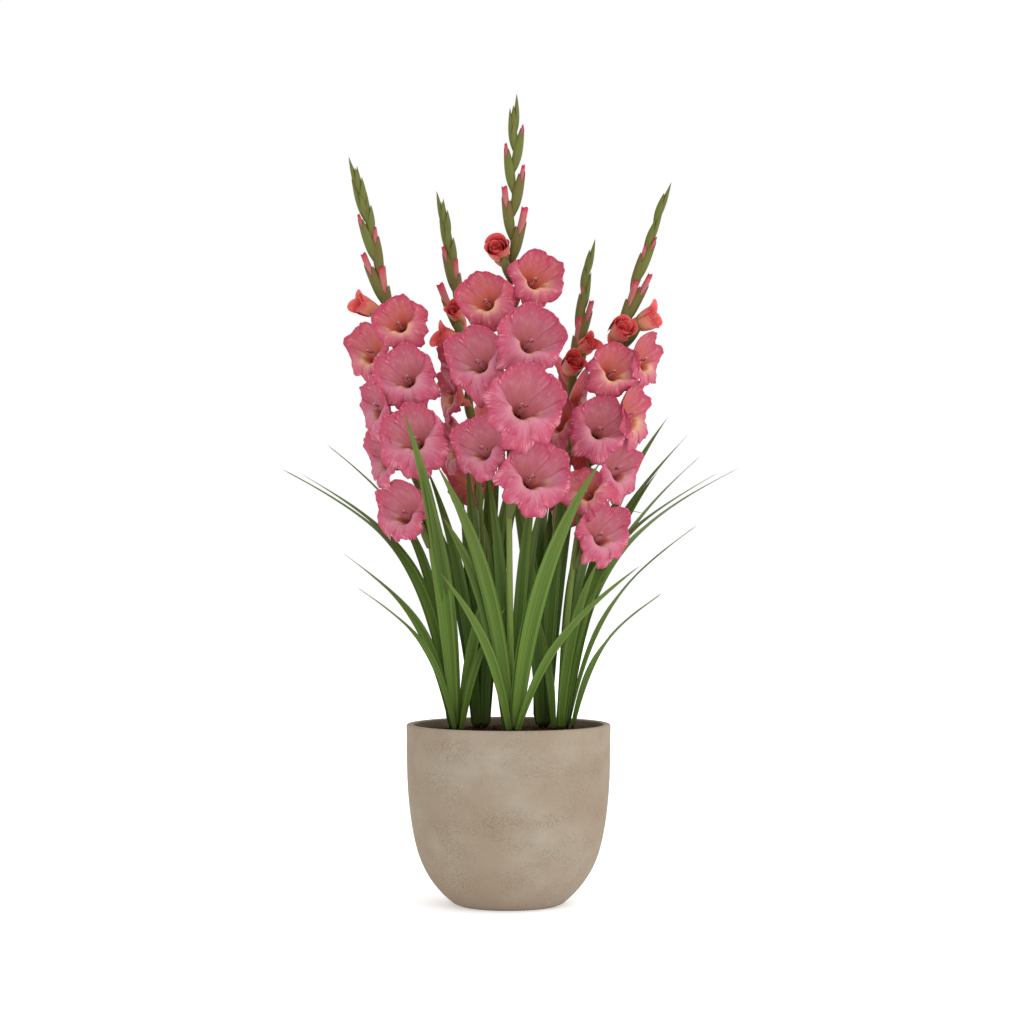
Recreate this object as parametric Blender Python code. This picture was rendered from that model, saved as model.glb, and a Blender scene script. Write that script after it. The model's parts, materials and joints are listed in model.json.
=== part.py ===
"""A potted gladiolus: a rounded stoneware pot of soil, five flower spikes and their sword leaves.

Metres, +Z up, and the front faces -Y. The origin is the centre of the pot's flat underside.
Every shape is worked out from the named sizes below, by the same few rules for each spike and leaf.
"""

import math

import bmesh
import bpy
from mathutils import Vector
from mathutils.bvhtree import BVHTree

GAP = 0.0003  # clear air between neighbours

POT_HEIGHT = 0.2635
POT_RIM = 0.1505  # the radius that the wall nears at the rim
POT_FOOT = 0.0776
POT_SWELL = 4.9  # how quickly the foot swells into the wall
POT_WALL = 0.011
POT_FLOOR = 0.014
POT_SIDES = 48
RIM_ROUND = 0.0022

SOIL_BELOW_RIM = 0.014
SOIL_DOME = 0.005

STALK_RADIUS = 0.0056
STALK_TIP_RADIUS = 0.0014
STALK_SIDES = 9

# A spike leaves the soil at foot, leans and sweeps to its tip, flowers from first and is in bud from bud.
# A floret is (x, z, degrees that it is turned from the front to the right, width).
# A half-open floret is the same, its width that of its mouth. A bud is the (x, z) of its tip.
SPIKES = {
    "centre": {
        "foot": (0.005, -0.050), "lean": (-0.020, 0.0), "sweep": (0.026, 0.0),
        "first": 0.566, "bud": 0.950, "tip": 1.177,
        "buds": [
            (0.024, 1.013), (-0.006, 1.043), (0.022, 1.074), (-0.004, 1.105), (0.021, 1.132),
            (0.002, 1.157), (0.012, 1.177),
        ],
        "florets": [
            (0.034, 0.621, 14, 0.112), (-0.041, 0.664, -32, 0.100), (0.020, 0.721, 10, 0.124),
            (-0.043, 0.787, -16, 0.106), (0.031, 0.815, 14, 0.108), (-0.034, 0.875, -14, 0.090),
            (0.040, 0.906, 16, 0.088),
        ],
        "opening": [(-0.018, 0.957, -12, 0.040)],
    },
    "left": {
        "foot": (-0.078, 0.0), "lean": (-0.090, 0.0), "sweep": (-0.061, -0.010),
        "first": 0.520, "bud": 0.872, "tip": 1.091,
        "buds": [
            (-0.185, 0.931), (-0.212, 0.950), (-0.195, 0.988), (-0.219, 1.007), (-0.207, 1.040),
            (-0.229, 1.059), (-0.221, 1.078), (-0.233, 1.091),
        ],
        "florets": [
            (-0.157, 0.572, -34, 0.097), (-0.190, 0.655, -62, 0.097), (-0.135, 0.677, -6, 0.108),
            (-0.200, 0.728, -62, 0.090), (-0.148, 0.767, -8, 0.100), (-0.208, 0.806, -42, 0.088),
            (-0.158, 0.845, -4, 0.083),
        ],
        "opening": [(-0.216, 0.878, -66, 0.034)],
    },
    "right": {
        "foot": (0.076, 0.020), "lean": (0.020, 0.0), "sweep": (0.139, -0.020),
        "first": 0.489, "bud": 0.848, "tip": 1.055,
        "buds": [
            (0.187, 0.912), (0.208, 0.921), (0.201, 0.964), (0.216, 0.975), (0.226, 1.017),
            (0.238, 1.055),
        ],
        "florets": [
            (0.141, 0.540, 34, 0.097), (0.116, 0.602, -14, 0.088), (0.168, 0.637, 48, 0.097),
            (0.133, 0.693, 6, 0.096), (0.190, 0.716, 62, 0.098), (0.154, 0.776, 16, 0.086),
            (0.205, 0.796, 56, 0.080),
        ],
        "opening": [(0.174, 0.847, 10, 0.040), (0.211, 0.858, 70, 0.036)],
    },
    "left_centre": {
        "foot": (-0.035, 0.030), "lean": (0.020, 0.020), "sweep": (-0.089, 0.020),
        "first": 0.560, "bud": 0.867, "tip": 1.050,
        "buds": [
            (-0.102, 0.911), (-0.079, 0.948), (-0.097, 0.967), (-0.088, 1.000), (-0.103, 1.017),
            (-0.097, 1.039), (-0.107, 1.050),
        ],
        "florets": [
            (-0.060, 0.625, -150, 0.090), (-0.088, 0.672, -72, 0.092), (-0.020, 0.706, 150, 0.090),
            (-0.098, 0.752, -100, 0.088), (-0.034, 0.780, 110, 0.084), (-0.076, 0.806, -40, 0.080),
        ],
        "opening": [(-0.106, 0.836, -74, 0.040), (-0.082, 0.874, -20, 0.030)],
    },
    "right_centre": {
        "foot": (0.047, 0.045), "lean": (0.043, 0.020), "sweep": (0.033, 0.015),
        "first": 0.520, "bud": 0.816, "tip": 0.980,
        "buds": [
            (0.106, 0.863), (0.124, 0.887), (0.111, 0.910), (0.123, 0.931), (0.120, 0.959),
            (0.129, 0.980),
        ],
        "florets": [
            (0.096, 0.590, 130, 0.088), (0.052, 0.632, -120, 0.090), (0.112, 0.676, 140, 0.088),
            (0.066, 0.706, -40, 0.088), (0.116, 0.744, 80, 0.084), (0.073, 0.770, -96, 0.080),
        ],
        "opening": [(0.100, 0.797, -10, 0.038), (0.126, 0.826, 50, 0.032)],
    },
}

LOBES = 6
SHOULDERS = 3  # points of the margin to a lobe
REACH = 0.55  # from the stalk to the middle of the mouth, and the rest, for a floret of width 1
MOUTH_DEPTH = 0.36
TUBE_DROP = 0.38
TUBE_RADIUS = 0.0054
THROAT = 0.062
FLARE = 1.7
NOTCH = 0.83  # how far the margin draws in between two lobes
PETAL_THICK = 0.0016
TILT = math.radians(5)

BUD_LENGTH = 0.062
BUD_RADIUS = 0.0084

# A fan of leaves stands round each foot: x, y and the turn of its flat side from the front, in degrees.
FANS = {
    "left": (-0.077, 0.000, 8),
    "left_centre": (-0.036, 0.032, -15),
    "centre": (0.005, -0.050, 5),
    "right_centre": (0.046, 0.047, 18),
    "right": (0.075, 0.020, -12),
    "far_right": (0.079, 0.056, 24),
}
# How a leaf bends on its way out and up, how stiffly, and the turn of its flat side at the tip.
HABITS = {
    "upright": (0.38, 0.62, 0.70, 12),
    "leaning": (0.24, 0.58, 0.80, 16),
    "arching": (0.21, 0.64, 0.84, 62),
    "sweeping": (0.13, 0.70, 0.86, 62),
    "drooping": (0.10, 0.92, 0.92, 70),
}
# A leaf is (fan, place in the fan, habit, tip x, tip y, tip z, width).
LEAVES = {
    "leaf_left_front": ("left", -3, "upright", -0.149, -0.125, 0.718, 0.030),
    "leaf_left_inner": ("left_centre", -3, "upright", -0.121, 0.010, 0.640, 0.026),
    "leaf_left_cross": ("left", -2, "leaning", -0.004, -0.030, 0.520, 0.024),
    "leaf_left_cross_low": ("left", -4, "leaning", -0.004, -0.070, 0.436, 0.018),
    "leaf_left_arch_1": ("left", 1, "sweeping", -0.333, 0.020, 0.636, 0.024),
    "leaf_left_arch_2": ("left", 2, "sweeping", -0.308, 0.052, 0.630, 0.024),
    "leaf_left_arch_3": ("left", 4, "sweeping", -0.272, 0.076, 0.674, 0.022),
    "leaf_left_arch_4": ("left", -1, "arching", -0.240, -0.030, 0.513, 0.022),
    "leaf_left_arch_5": ("left", -5, "arching", -0.218, -0.066, 0.465, 0.014),
    "leaf_left_back": ("left", 5, "drooping", -0.190, 0.200, 0.560, 0.022),
    "leaf_centre_left": ("centre", -1, "upright", -0.103, -0.080, 0.641, 0.032),
    "leaf_centre_low_left": ("centre", -2, "leaning", -0.098, -0.110, 0.488, 0.020),
    "leaf_centre_right": ("centre", -1.7, "upright", 0.133, -0.100, 0.647, 0.035),
    "leaf_centre_low_right": ("centre", -3, "leaning", 0.188, -0.090, 0.496, 0.018),
    "leaf_centre_back_1": ("centre", 1, "upright", -0.032, -0.030, 0.640, 0.026),
    "leaf_centre_back_2": ("centre", 2, "upright", 0.044, -0.010, 0.650, 0.026),
    "leaf_right_arch_1": ("right", -1, "sweeping", 0.312, -0.010, 0.632, 0.026),
    "leaf_right_arch_2": ("right", 1, "arching", 0.269, 0.046, 0.690, 0.026),
    "leaf_right_arch_3": ("right", 2, "upright", 0.239, 0.050, 0.716, 0.024),
    "leaf_right_inner": ("right", -2, "upright", 0.131, -0.020, 0.503, 0.022),
    "leaf_right_cross": ("right", -3, "leaning", 0.043, -0.020, 0.422, 0.018),
    "leaf_far_right_1": ("far_right", 0, "sweeping", 0.345, 0.030, 0.639, 0.022),
    "leaf_far_right_2": ("far_right", 1, "arching", 0.286, 0.080, 0.656, 0.022),
    "leaf_far_right_3": ("far_right", -1, "arching", 0.279, 0.000, 0.553, 0.012),
    "leaf_far_right_4": ("far_right", -2, "arching", 0.223, -0.030, 0.455, 0.016),
    "leaf_far_right_back": ("far_right", 2, "drooping", 0.210, 0.210, 0.570, 0.022),
    "leaf_left_centre_1": ("left_centre", -1, "upright", -0.062, 0.000, 0.660, 0.028),
    "leaf_left_centre_2": ("left_centre", -2, "upright", 0.010, 0.010, 0.650, 0.028),
    "leaf_left_centre_3": ("left_centre", 1, "upright", -0.024, 0.090, 0.690, 0.026),
    "leaf_left_centre_back": ("left_centre", 2, "drooping", -0.060, 0.260, 0.590, 0.024),
    "leaf_right_centre_1": ("right_centre", -1, "upright", 0.094, 0.030, 0.660, 0.030),
    "leaf_right_centre_2": ("right_centre", -2, "upright", -0.004, 0.030, 0.650, 0.030),
    "leaf_right_centre_3": ("right_centre", 1, "upright", 0.086, 0.120, 0.700, 0.026),
    "leaf_right_centre_back": ("right_centre", 2, "drooping", 0.080, 0.270, 0.600, 0.024),
    "leaf_far_right_side": ("far_right", 3, "arching", 0.180, 0.180, 0.640, 0.024),
}
LEAF_STEPS = 9
LEAF_THICK = 0.0105  # of its length
LEAF_TIP = 0.0016
FAN_STEP = 0.0056
STALK_ROOM = 0.0036
CLEAR = 0.0005  # what a leaf is padded by on each side when it looks for room

COLOURS = {
    "pot": (0.46, 0.38, 0.29), "soil": (0.030, 0.020, 0.014), "stem": (0.20, 0.27, 0.07),
    "florets": (0.66, 0.16, 0.25), "buds": (0.19, 0.22, 0.07), "leaf": (0.085, 0.20, 0.045),
}


def clear_scene():
    for thing in list(bpy.data.objects):
        bpy.data.objects.remove(thing, do_unlink=True)


def material(name, colour):
    made = bpy.data.materials.new(name)
    made.use_nodes = True
    surface = made.node_tree.nodes["Principled BSDF"]
    surface.inputs["Base Color"].default_value = (*colour, 1)
    surface.inputs["Roughness"].default_value = 0.6
    return made


def shaped(name, bm, kind, smooth=True):
    """The closed mesh as an object of its own, its faces turned outwards."""
    bmesh.ops.recalc_face_normals(bm, faces=bm.faces)
    for face in bm.faces:
        face.smooth = smooth
    mesh = bpy.data.meshes.new(name)
    bm.to_mesh(mesh)
    bm.free()
    made = bpy.data.objects.new(name, mesh)
    bpy.context.scene.collection.objects.link(made)
    mesh.materials.append(material(name, COLOURS[kind]))
    return made


def ring(bm, points):
    return [bm.verts.new(point) for point in points]


def bridge(bm, low, high):
    """Faces between two rings of the same count, or from one to another of twice its count."""
    count = len(low)
    if len(high) == 2 * count:
        for i in range(count):
            after = (i + 1) % count
            bm.faces.new((low[i], high[2 * i], high[2 * i + 1]))
            bm.faces.new((low[i], high[2 * i + 1], low[after]))
            bm.faces.new((low[after], high[2 * i + 1], high[(2 * i + 2) % len(high)]))
    elif len(low) == 2 * len(high):
        bridge(bm, high, low)
    else:
        for i in range(count):
            after = (i + 1) % count
            bm.faces.new((low[i], low[after], high[after], high[i]))


def lathe(name, profile, kind):
    """The profile of (radius, height), from axis to axis, turned once round."""
    bm = bmesh.new()
    line = [bm.verts.new((radius, 0, height)) for radius, height in profile]
    edges = [bm.edges.new(pair) for pair in zip(line, line[1:])]
    bmesh.ops.spin(
        bm, geom=line + edges, cent=(0, 0, 0), axis=(0, 0, 1),
        angle=math.tau, steps=POT_SIDES, use_merge=True,
    )
    bmesh.ops.remove_doubles(bm, verts=bm.verts, dist=1e-6)
    return shaped(name, bm, kind)


def pot_radius(height):
    return POT_RIM - (POT_RIM - POT_FOOT) * math.exp(-POT_SWELL * height / POT_HEIGHT)


def hollow_radius(height):
    return pot_radius(height) - POT_WALL


def soil_height(radius):
    edge = hollow_radius(POT_HEIGHT)
    return POT_HEIGHT - SOIL_BELOW_RIM + SOIL_DOME * (1 - (radius / edge) ** 2)


def make_pot():
    top = POT_HEIGHT - RIM_ROUND
    outer = [top * (i / 7) ** 1.5 for i in range(8)]
    inner = [top, 0.16, 0.07, POT_FLOOR]
    profile = [(0, 0)] + [(pot_radius(z), z) for z in outer]
    profile += [(pot_radius(top) - RIM_ROUND, POT_HEIGHT)]
    profile += [(hollow_radius(top) + RIM_ROUND, POT_HEIGHT)]
    profile += [(hollow_radius(z), z) for z in inner] + [(0, POT_FLOOR)]
    lathe("pot", profile, "pot")


def make_soil():
    """It fills the pot, and touches neither wall nor floor."""
    edge_height = POT_HEIGHT - SOIL_BELOW_RIM
    heights = [POT_FLOOR, 0.07, 0.16]
    profile = [(0, POT_FLOOR + GAP)]
    profile += [(hollow_radius(z) - GAP, max(z, POT_FLOOR + GAP)) for z in heights]
    edge = hollow_radius(0.16) + (hollow_radius(POT_HEIGHT - RIM_ROUND) - hollow_radius(0.16)) * (
        edge_height - 0.16
    ) / (POT_HEIGHT - RIM_ROUND - 0.16)
    profile.append((edge - GAP, edge_height))
    profile += [(r, soil_height(r)) for r in (0.09, 0.05)] + [(0, soil_height(0))]
    lathe("soil", profile, "soil")


def stalk_point(spike, height):
    """The middle of the stalk at this height."""
    start = soil_height(math.hypot(*spike["foot"]))
    along = (height - start) / (spike["tip"] - start)
    x, y = (
        foot + lean * along + sweep * along * along
        for foot, lean, sweep in zip(spike["foot"], spike["lean"], spike["sweep"])
    )
    return Vector((x, y, height))


def stalk_radius(spike, height):
    along = (height - POT_HEIGHT) / (spike["tip"] - POT_HEIGHT)
    return STALK_RADIUS + (STALK_TIP_RADIUS - STALK_RADIUS) * along


def add_stalk(bm, spike, low, high, steps):
    """A length of the stalk, cut level at both ends."""
    rings = []
    for i in range(steps + 1):
        height = low + (high - low) * i / steps
        middle, radius = stalk_point(spike, height), stalk_radius(spike, height)
        turns = (math.tau * k / STALK_SIDES for k in range(STALK_SIDES))
        rings.append(ring(bm, [middle + radius * Vector((math.cos(a), math.sin(a), 0)) for a in turns]))
    for pair in zip(rings, rings[1:]):
        bridge(bm, *pair)
    bm.faces.new(rings[0])
    bm.faces.new(rings[-1])


def facing(degrees, rise=TILT):
    turn = math.radians(degrees)
    flat = Vector((math.sin(turn), -math.cos(turn), 0))
    return flat * math.cos(rise) + Vector((0, 0, math.sin(rise)))


def floret_frame(spike, x, z, degrees, width, reach=REACH, drop=TUBE_DROP):
    """Where a floret leaves the stalk, the middle of its mouth, and the ways it faces, points up and across."""
    root = stalk_point(spike, z - drop * width)
    ahead = facing(degrees)
    across = x - root.x
    length = math.sqrt(max((reach * width) ** 2 - across**2, (0.3 * reach * width) ** 2))
    mouth = Vector((x, root.y + math.copysign(length, ahead.y), z))
    up = (Vector((0, 0, 1)) - ahead * ahead.z).normalized()
    return root, mouth, ahead, up, ahead.cross(up)


def mouth_shape(u):
    """(depth from the throat, radius) of the limb from throat, 0, to margin, 1, for width 1."""
    return MOUTH_DEPTH * math.sin(u * math.pi / 2), THROAT + (0.5 - THROAT) * u**FLARE


def lobe(angle, u):
    """How far the limb reaches at this angle from the top petal, and how it bends back there."""
    between = abs(math.cos(LOBES * angle / 2))
    reach = 1 - (1 - NOTCH) * (1 - between) ** 0.7 * u**2
    reach *= 1 + 0.05 * math.cos(angle) * u
    return reach, -0.05 * (1 - math.cos(angle)) / 2 * u**3


def limb_ring(u, count, thick, width, frame):
    """A ring of points round the limb, on its outside, or inside if thick isn't 0."""
    _, mouth, ahead, up, side = frame
    depth, radius = mouth_shape(u)
    lean = math.atan2((0.5 - THROAT) * FLARE * max(u, 0.05) ** (FLARE - 1), MOUTH_DEPTH * math.pi / 2 * math.cos(u * math.pi / 2))
    depth, radius = depth * width + thick * math.sin(lean), radius * width - thick * math.cos(lean)
    points = []
    for k in range(count):
        angle = math.pi / LOBES + math.tau * k / count
        reach, back = lobe(angle, u)
        ruffle = 0.014 * (-1) ** k * u**4
        out = radius * reach
        points.append(
            mouth + ahead * (depth - MOUTH_DEPTH * width + (back + ruffle) * width)
            + up * out * math.cos(angle) + side * out * math.sin(angle)
        )
    return points


def hoop(middle, along, radius, count, frame):
    """A plain ring square to the way it lies along."""
    side = frame[4]
    up = side.cross(along).normalized()
    turns = (math.pi / LOBES + math.tau * k / count for k in range(count))
    return [middle + radius * (up * math.cos(a) + side * math.sin(a)) for a in turns]


def floret(spike, row):
    """An open flower: a tube that rises from the stalk and flares into six lobes, hollow to the throat."""
    width = row[3]
    frame = floret_frame(spike, *row)
    root, mouth, ahead, up, _ = frame
    few, many = LOBES * SHOULDERS // 2, LOBES * SHOULDERS
    throat = mouth - ahead * MOUTH_DEPTH * width
    bm = bmesh.new()
    middle = root * 0.45 + throat * 0.55 + up * 0.03 * width
    rings = [
        ring(bm, hoop(root, (middle - root).normalized(), TUBE_RADIUS, few, frame)),
        ring(bm, hoop(middle, (throat - root).normalized(), TUBE_RADIUS * 1.3, few, frame)),
        ring(bm, limb_ring(0.25, few, 0, width, frame)),
        ring(bm, limb_ring(0.70, few, 0, width, frame)),
        ring(bm, limb_ring(1, many, 0, width, frame)),
        ring(bm, limb_ring(1, many, PETAL_THICK, width, frame)),
        ring(bm, limb_ring(0.66, few, PETAL_THICK, width, frame)),
        ring(bm, limb_ring(0.25, few, PETAL_THICK, width, frame)),
    ]
    for pair in zip(rings, rings[1:]):
        bridge(bm, *pair)
    bm.faces.new(rings[0])
    bm.faces.new(rings[-1])
    return bm


def opening_floret(spike, row):
    """A flower still rolled up: a slim trumpet with a shallow mouth."""
    width = row[3]
    length = 0.052
    frame = floret_frame(spike, *row[:3], length, 0.62, 0.75)
    root, mouth, ahead, up, _ = frame
    ahead = (ahead + up * 0.35).normalized()
    bm = bmesh.new()
    count = 7
    rings = [ring(bm, hoop(root, up, TUBE_RADIUS * 0.8, count, frame))]
    for along, wide in ((0.5, 0.34), (0.22, 0.72), (0, 1)):
        rings.append(ring(bm, hoop(mouth - ahead * along * length, ahead, wide * width / 2, count, frame)))
    rings.append(ring(bm, hoop(mouth - ahead * 0.004, ahead, 0.6 * width / 2, count, frame)))
    for pair in zip(rings, rings[1:]):
        bridge(bm, *pair)
    bm.faces.new(rings[0])
    bm.faces.new(rings[-1])
    return bm


def bud_size(spike, k):
    """(length, radius) of bud k, from the lowest up."""
    share = k / (len(spike["buds"]) - 1)
    return BUD_LENGTH * (1 - 0.28 * share), BUD_RADIUS * (1 - 0.24 * share)


def bud(spike, k):
    """A green bud: a spindle that leaves the stalk close along it."""
    length, radius = bud_size(spike, k)
    x, z = spike["buds"][k]
    base = stalk_point(spike, max(z - length, spike["bud"] + 0.002))
    tip = Vector((x, stalk_point(spike, z).y - 0.004, z))
    along = (tip - base).normalized()
    side = along.cross(Vector((0, 1, 0))).normalized()
    frame = (None, None, None, None, side)
    bm = bmesh.new()
    foot, top = bm.verts.new(base), bm.verts.new(tip)
    count = 6
    rings = [
        ring(bm, hoop(base.lerp(tip, at), along, radius * wide, count, frame))
        for at, wide in ((0.25, 0.95), (0.68, 0.80))
    ]
    for i in range(count):
        after = (i + 1) % count
        bm.faces.new((foot, rings[0][i], rings[0][after]))
        bm.faces.new((top, rings[-1][after], rings[-1][i]))
    for pair in zip(rings, rings[1:]):
        bridge(bm, *pair)
    return bm


def fused(name, stalk, others, kind):
    """The stalk and what grows on it as one body."""
    made = shaped(name, stalk, kind)
    group = bpy.data.collections.new(name + "_growth")
    bpy.context.scene.collection.children.link(group)
    for i, bm in enumerate(others):
        piece = shaped(f"{name}_{i}", bm, kind)
        bpy.context.scene.collection.objects.unlink(piece)
        group.objects.link(piece)
    union = made.modifiers.new("union", "BOOLEAN")
    union.operation = "UNION"
    union.operand_type = "COLLECTION"
    union.collection = group
    union.solver = "MANIFOLD"
    bpy.context.view_layer.update()
    whole = bpy.data.meshes.new_from_object(made.evaluated_get(bpy.context.evaluated_depsgraph_get()))
    made.modifiers.clear()
    made.data = whole
    for piece in list(group.objects):
        bpy.data.objects.remove(piece, do_unlink=True)
    bpy.data.collections.remove(group)
    whole.materials.clear()
    whole.materials.append(material(name, COLOURS[kind]))
    return made


def make_spike(name, spike):
    ground = soil_height(math.hypot(*spike["foot"]) - STALK_RADIUS) + GAP
    bm = bmesh.new()
    add_stalk(bm, spike, ground, spike["first"] - GAP, 3)
    parts = [shaped(name + "_stem", bm, "stem")]

    bm = bmesh.new()
    add_stalk(bm, spike, spike["first"], spike["bud"] - GAP, 3)
    growth = [floret(spike, row) for row in spike["florets"]]
    growth += [opening_floret(spike, row) for row in spike["opening"]]
    parts.append(fused(name + "_florets", bm, growth, "florets"))

    bm = bmesh.new()
    add_stalk(bm, spike, spike["bud"], spike["tip"] - 0.03, 2)
    growth = [bud(spike, k) for k in range(len(spike["buds"]))]
    parts.append(fused(name + "_buds", bm, growth, "buds"))
    return parts


def leaf_spine(row, tip_shift=0, base_shift=0):
    """The points from base to tip of a leaf, and its ways across at each, as it leans out and bends."""
    fan, place, habit, x, y, z, width = row
    fan_x, fan_y, turn = FANS[fan]
    out, rise, stiff, tip_turn = HABITS[habit]
    flat = Vector((math.cos(math.radians(turn)), math.sin(math.radians(turn)), 0))
    deep = Vector((-flat.y, flat.x, 0))
    tip = Vector((x, y + tip_shift, z))
    side = math.copysign(0.0045, (tip - Vector((fan_x, fan_y, 0))).dot(flat))
    room = math.copysign(STALK_ROOM, place) if place else 0
    base = Vector((fan_x, fan_y, 0)) + flat * side + deep * (place * FAN_STEP + room + base_shift)
    base.z = soil_height(max(base.xy.length - width / 2, 0)) + GAP
    elbow = Vector((base.x + (tip.x - base.x) * out, base.y + (tip.y - base.y) * out, base.z + (tip.z - base.z) * rise))
    low, high = base.lerp(elbow, stiff), tip.lerp(elbow, stiff)
    if habit == "drooping":
        high.z = max(high.z, tip.z + 0.03)
    spine = []
    for i in range(LEAF_STEPS + 1):
        s = i / LEAF_STEPS
        point = (
            base * (1 - s) ** 3 + low * 3 * s * (1 - s) ** 2 + high * 3 * s * s * (1 - s) + tip * s**3
        )
        way = 3 * ((low - base) * (1 - s) ** 2 + (high - low) * 2 * s * (1 - s) + (tip - high) * s * s)
        way = way.normalized() if i else Vector((0, 0, 1))
        eased = min(max((s - 0.22) / 0.6, 0), 1)
        eased *= eased * (3 - 2 * eased)
        swing = math.radians(turn + (math.copysign(tip_turn, turn) - turn) * eased)
        across = Vector((math.cos(swing), math.sin(swing), 0))
        across = (across - way * across.dot(way)).normalized()
        spine.append((s, point, across, way.cross(across)))
    return spine


def leaf_half_width(s, width):
    swell = 0.44 + 0.56 * math.sin(min(s / 0.42, 1) * math.pi / 2)
    taper = 1 - max((s - 0.42) / 0.58, 0) ** 1.8
    return max(width * swell * taper, LEAF_TIP) / 2


def blade(row, pad, **shifts):
    """A sword leaf, four-sided and thickest along its midrib."""
    spine = leaf_spine(row, **shifts)
    length = sum((b[1] - a[1]).length for a, b in zip(spine, spine[1:]))
    bm = bmesh.new()
    rings = []
    for s, point, across, face in spine:
        half = leaf_half_width(s, row[6]) + pad
        thick = max(length * LEAF_THICK * min(1, 2.4 * (1.02 - s)), LEAF_TIP) / 2 + pad
        rings.append(ring(bm, (point - across * half, point - face * thick, point + across * half, point + face * thick)))
    for pair in zip(rings, rings[1:]):
        bridge(bm, *pair)
    bm.faces.new(rings[0])
    bm.faces.new(rings[-1])
    return bm


def tree_of(thing):
    bm = bmesh.new()
    bm.from_mesh(thing.data)
    tree = BVHTree.FromBMesh(bm)
    bm.free()
    return tree


def shifts_to_try():
    """The base first stays put while the tip moves back or forward, so that the leaf keeps its outline."""
    steps = [0] + [sign * 0.008 * k for k in range(1, 14) for sign in (1, -1)]
    bases = [0] + [sign * 0.002 * k for k in range(1, 8) for sign in (1, -1)]
    return sorted(((b, t) for b in bases for t in steps), key=lambda pair: abs(pair[0]) * 8 + abs(pair[1]))


def make_leaves(standing):
    """Each leaf takes the nearest place where it touches nothing that stands already."""
    trees = [tree_of(thing) for thing in standing]
    for name, row in LEAVES.items():
        for base, tip in shifts_to_try():
            bm = blade(row, CLEAR, tip_shift=tip, base_shift=base)
            padded = BVHTree.FromBMesh(bm)
            bm.free()
            if not any(padded.overlap(tree) for tree in trees):
                break
        else:
            raise RuntimeError(f"no room for {name}")
        trees.append(padded)
        shaped(name, blade(row, 0, tip_shift=tip, base_shift=base), "leaf", smooth=False)


def build():
    clear_scene()
    make_pot()
    make_soil()
    standing = []
    for name, spike in SPIKES.items():
        standing += make_spike(name, spike)
    make_leaves(standing)


build()
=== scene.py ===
"""A potted gladiolus, dressed over its solids: a pot of compost, five flower spikes and their leaves.

Metres, +Z up, and the front faces -Y. Every spike, floret, bud and leaf follows the rule that its solid
follows, in finer steps. A floret grows from six tepals, each a grid laid on a ruffled funnel.
"""

import json
import math
import random

import bmesh
import bpy
import numpy as np
from mathutils import Matrix, Vector, noise

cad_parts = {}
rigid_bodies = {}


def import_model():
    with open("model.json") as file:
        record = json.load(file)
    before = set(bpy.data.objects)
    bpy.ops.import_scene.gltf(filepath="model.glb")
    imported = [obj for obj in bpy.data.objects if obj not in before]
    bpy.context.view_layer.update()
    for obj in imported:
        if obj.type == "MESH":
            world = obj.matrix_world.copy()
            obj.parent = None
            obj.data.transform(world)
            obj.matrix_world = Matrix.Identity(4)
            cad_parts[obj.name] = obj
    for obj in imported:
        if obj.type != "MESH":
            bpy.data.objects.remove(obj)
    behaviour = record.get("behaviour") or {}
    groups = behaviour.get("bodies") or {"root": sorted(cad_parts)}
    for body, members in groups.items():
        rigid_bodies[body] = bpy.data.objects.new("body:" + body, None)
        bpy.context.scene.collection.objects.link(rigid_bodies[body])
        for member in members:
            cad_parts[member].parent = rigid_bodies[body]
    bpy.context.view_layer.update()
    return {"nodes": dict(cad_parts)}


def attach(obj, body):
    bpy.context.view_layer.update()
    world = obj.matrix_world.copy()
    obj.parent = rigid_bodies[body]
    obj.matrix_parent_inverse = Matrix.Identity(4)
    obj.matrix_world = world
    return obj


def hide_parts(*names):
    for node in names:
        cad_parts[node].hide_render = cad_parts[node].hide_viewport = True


for thing in list(bpy.data.objects):
    bpy.data.objects.remove(thing, do_unlink=True)
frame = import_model()

# The pot and its soil.
POT_HEIGHT = 0.2635
POT_RIM = 0.1505  # the radius that the wall nears at the rim
POT_FOOT = 0.0776
POT_SWELL = 4.9  # how quickly the foot swells into the wall
POT_WALL = 0.011
POT_FLOOR = 0.014
POT_SIDES = 160
OUTSIDE_RINGS = 44
INSIDE_RINGS = 18
RIM_ROUND = 0.0026
FOOT_ROUND = 0.003
SOIL_BELOW_RIM = 0.014
SOIL_DOME = 0.005
SOIL_SIDES = 150
SOIL_RINGS = 46
CLODS = 900

# The stalks.
STALK_RADIUS = 0.0056
STALK_TIP_RADIUS = 0.0014
STALK_RINGS = 90

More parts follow.
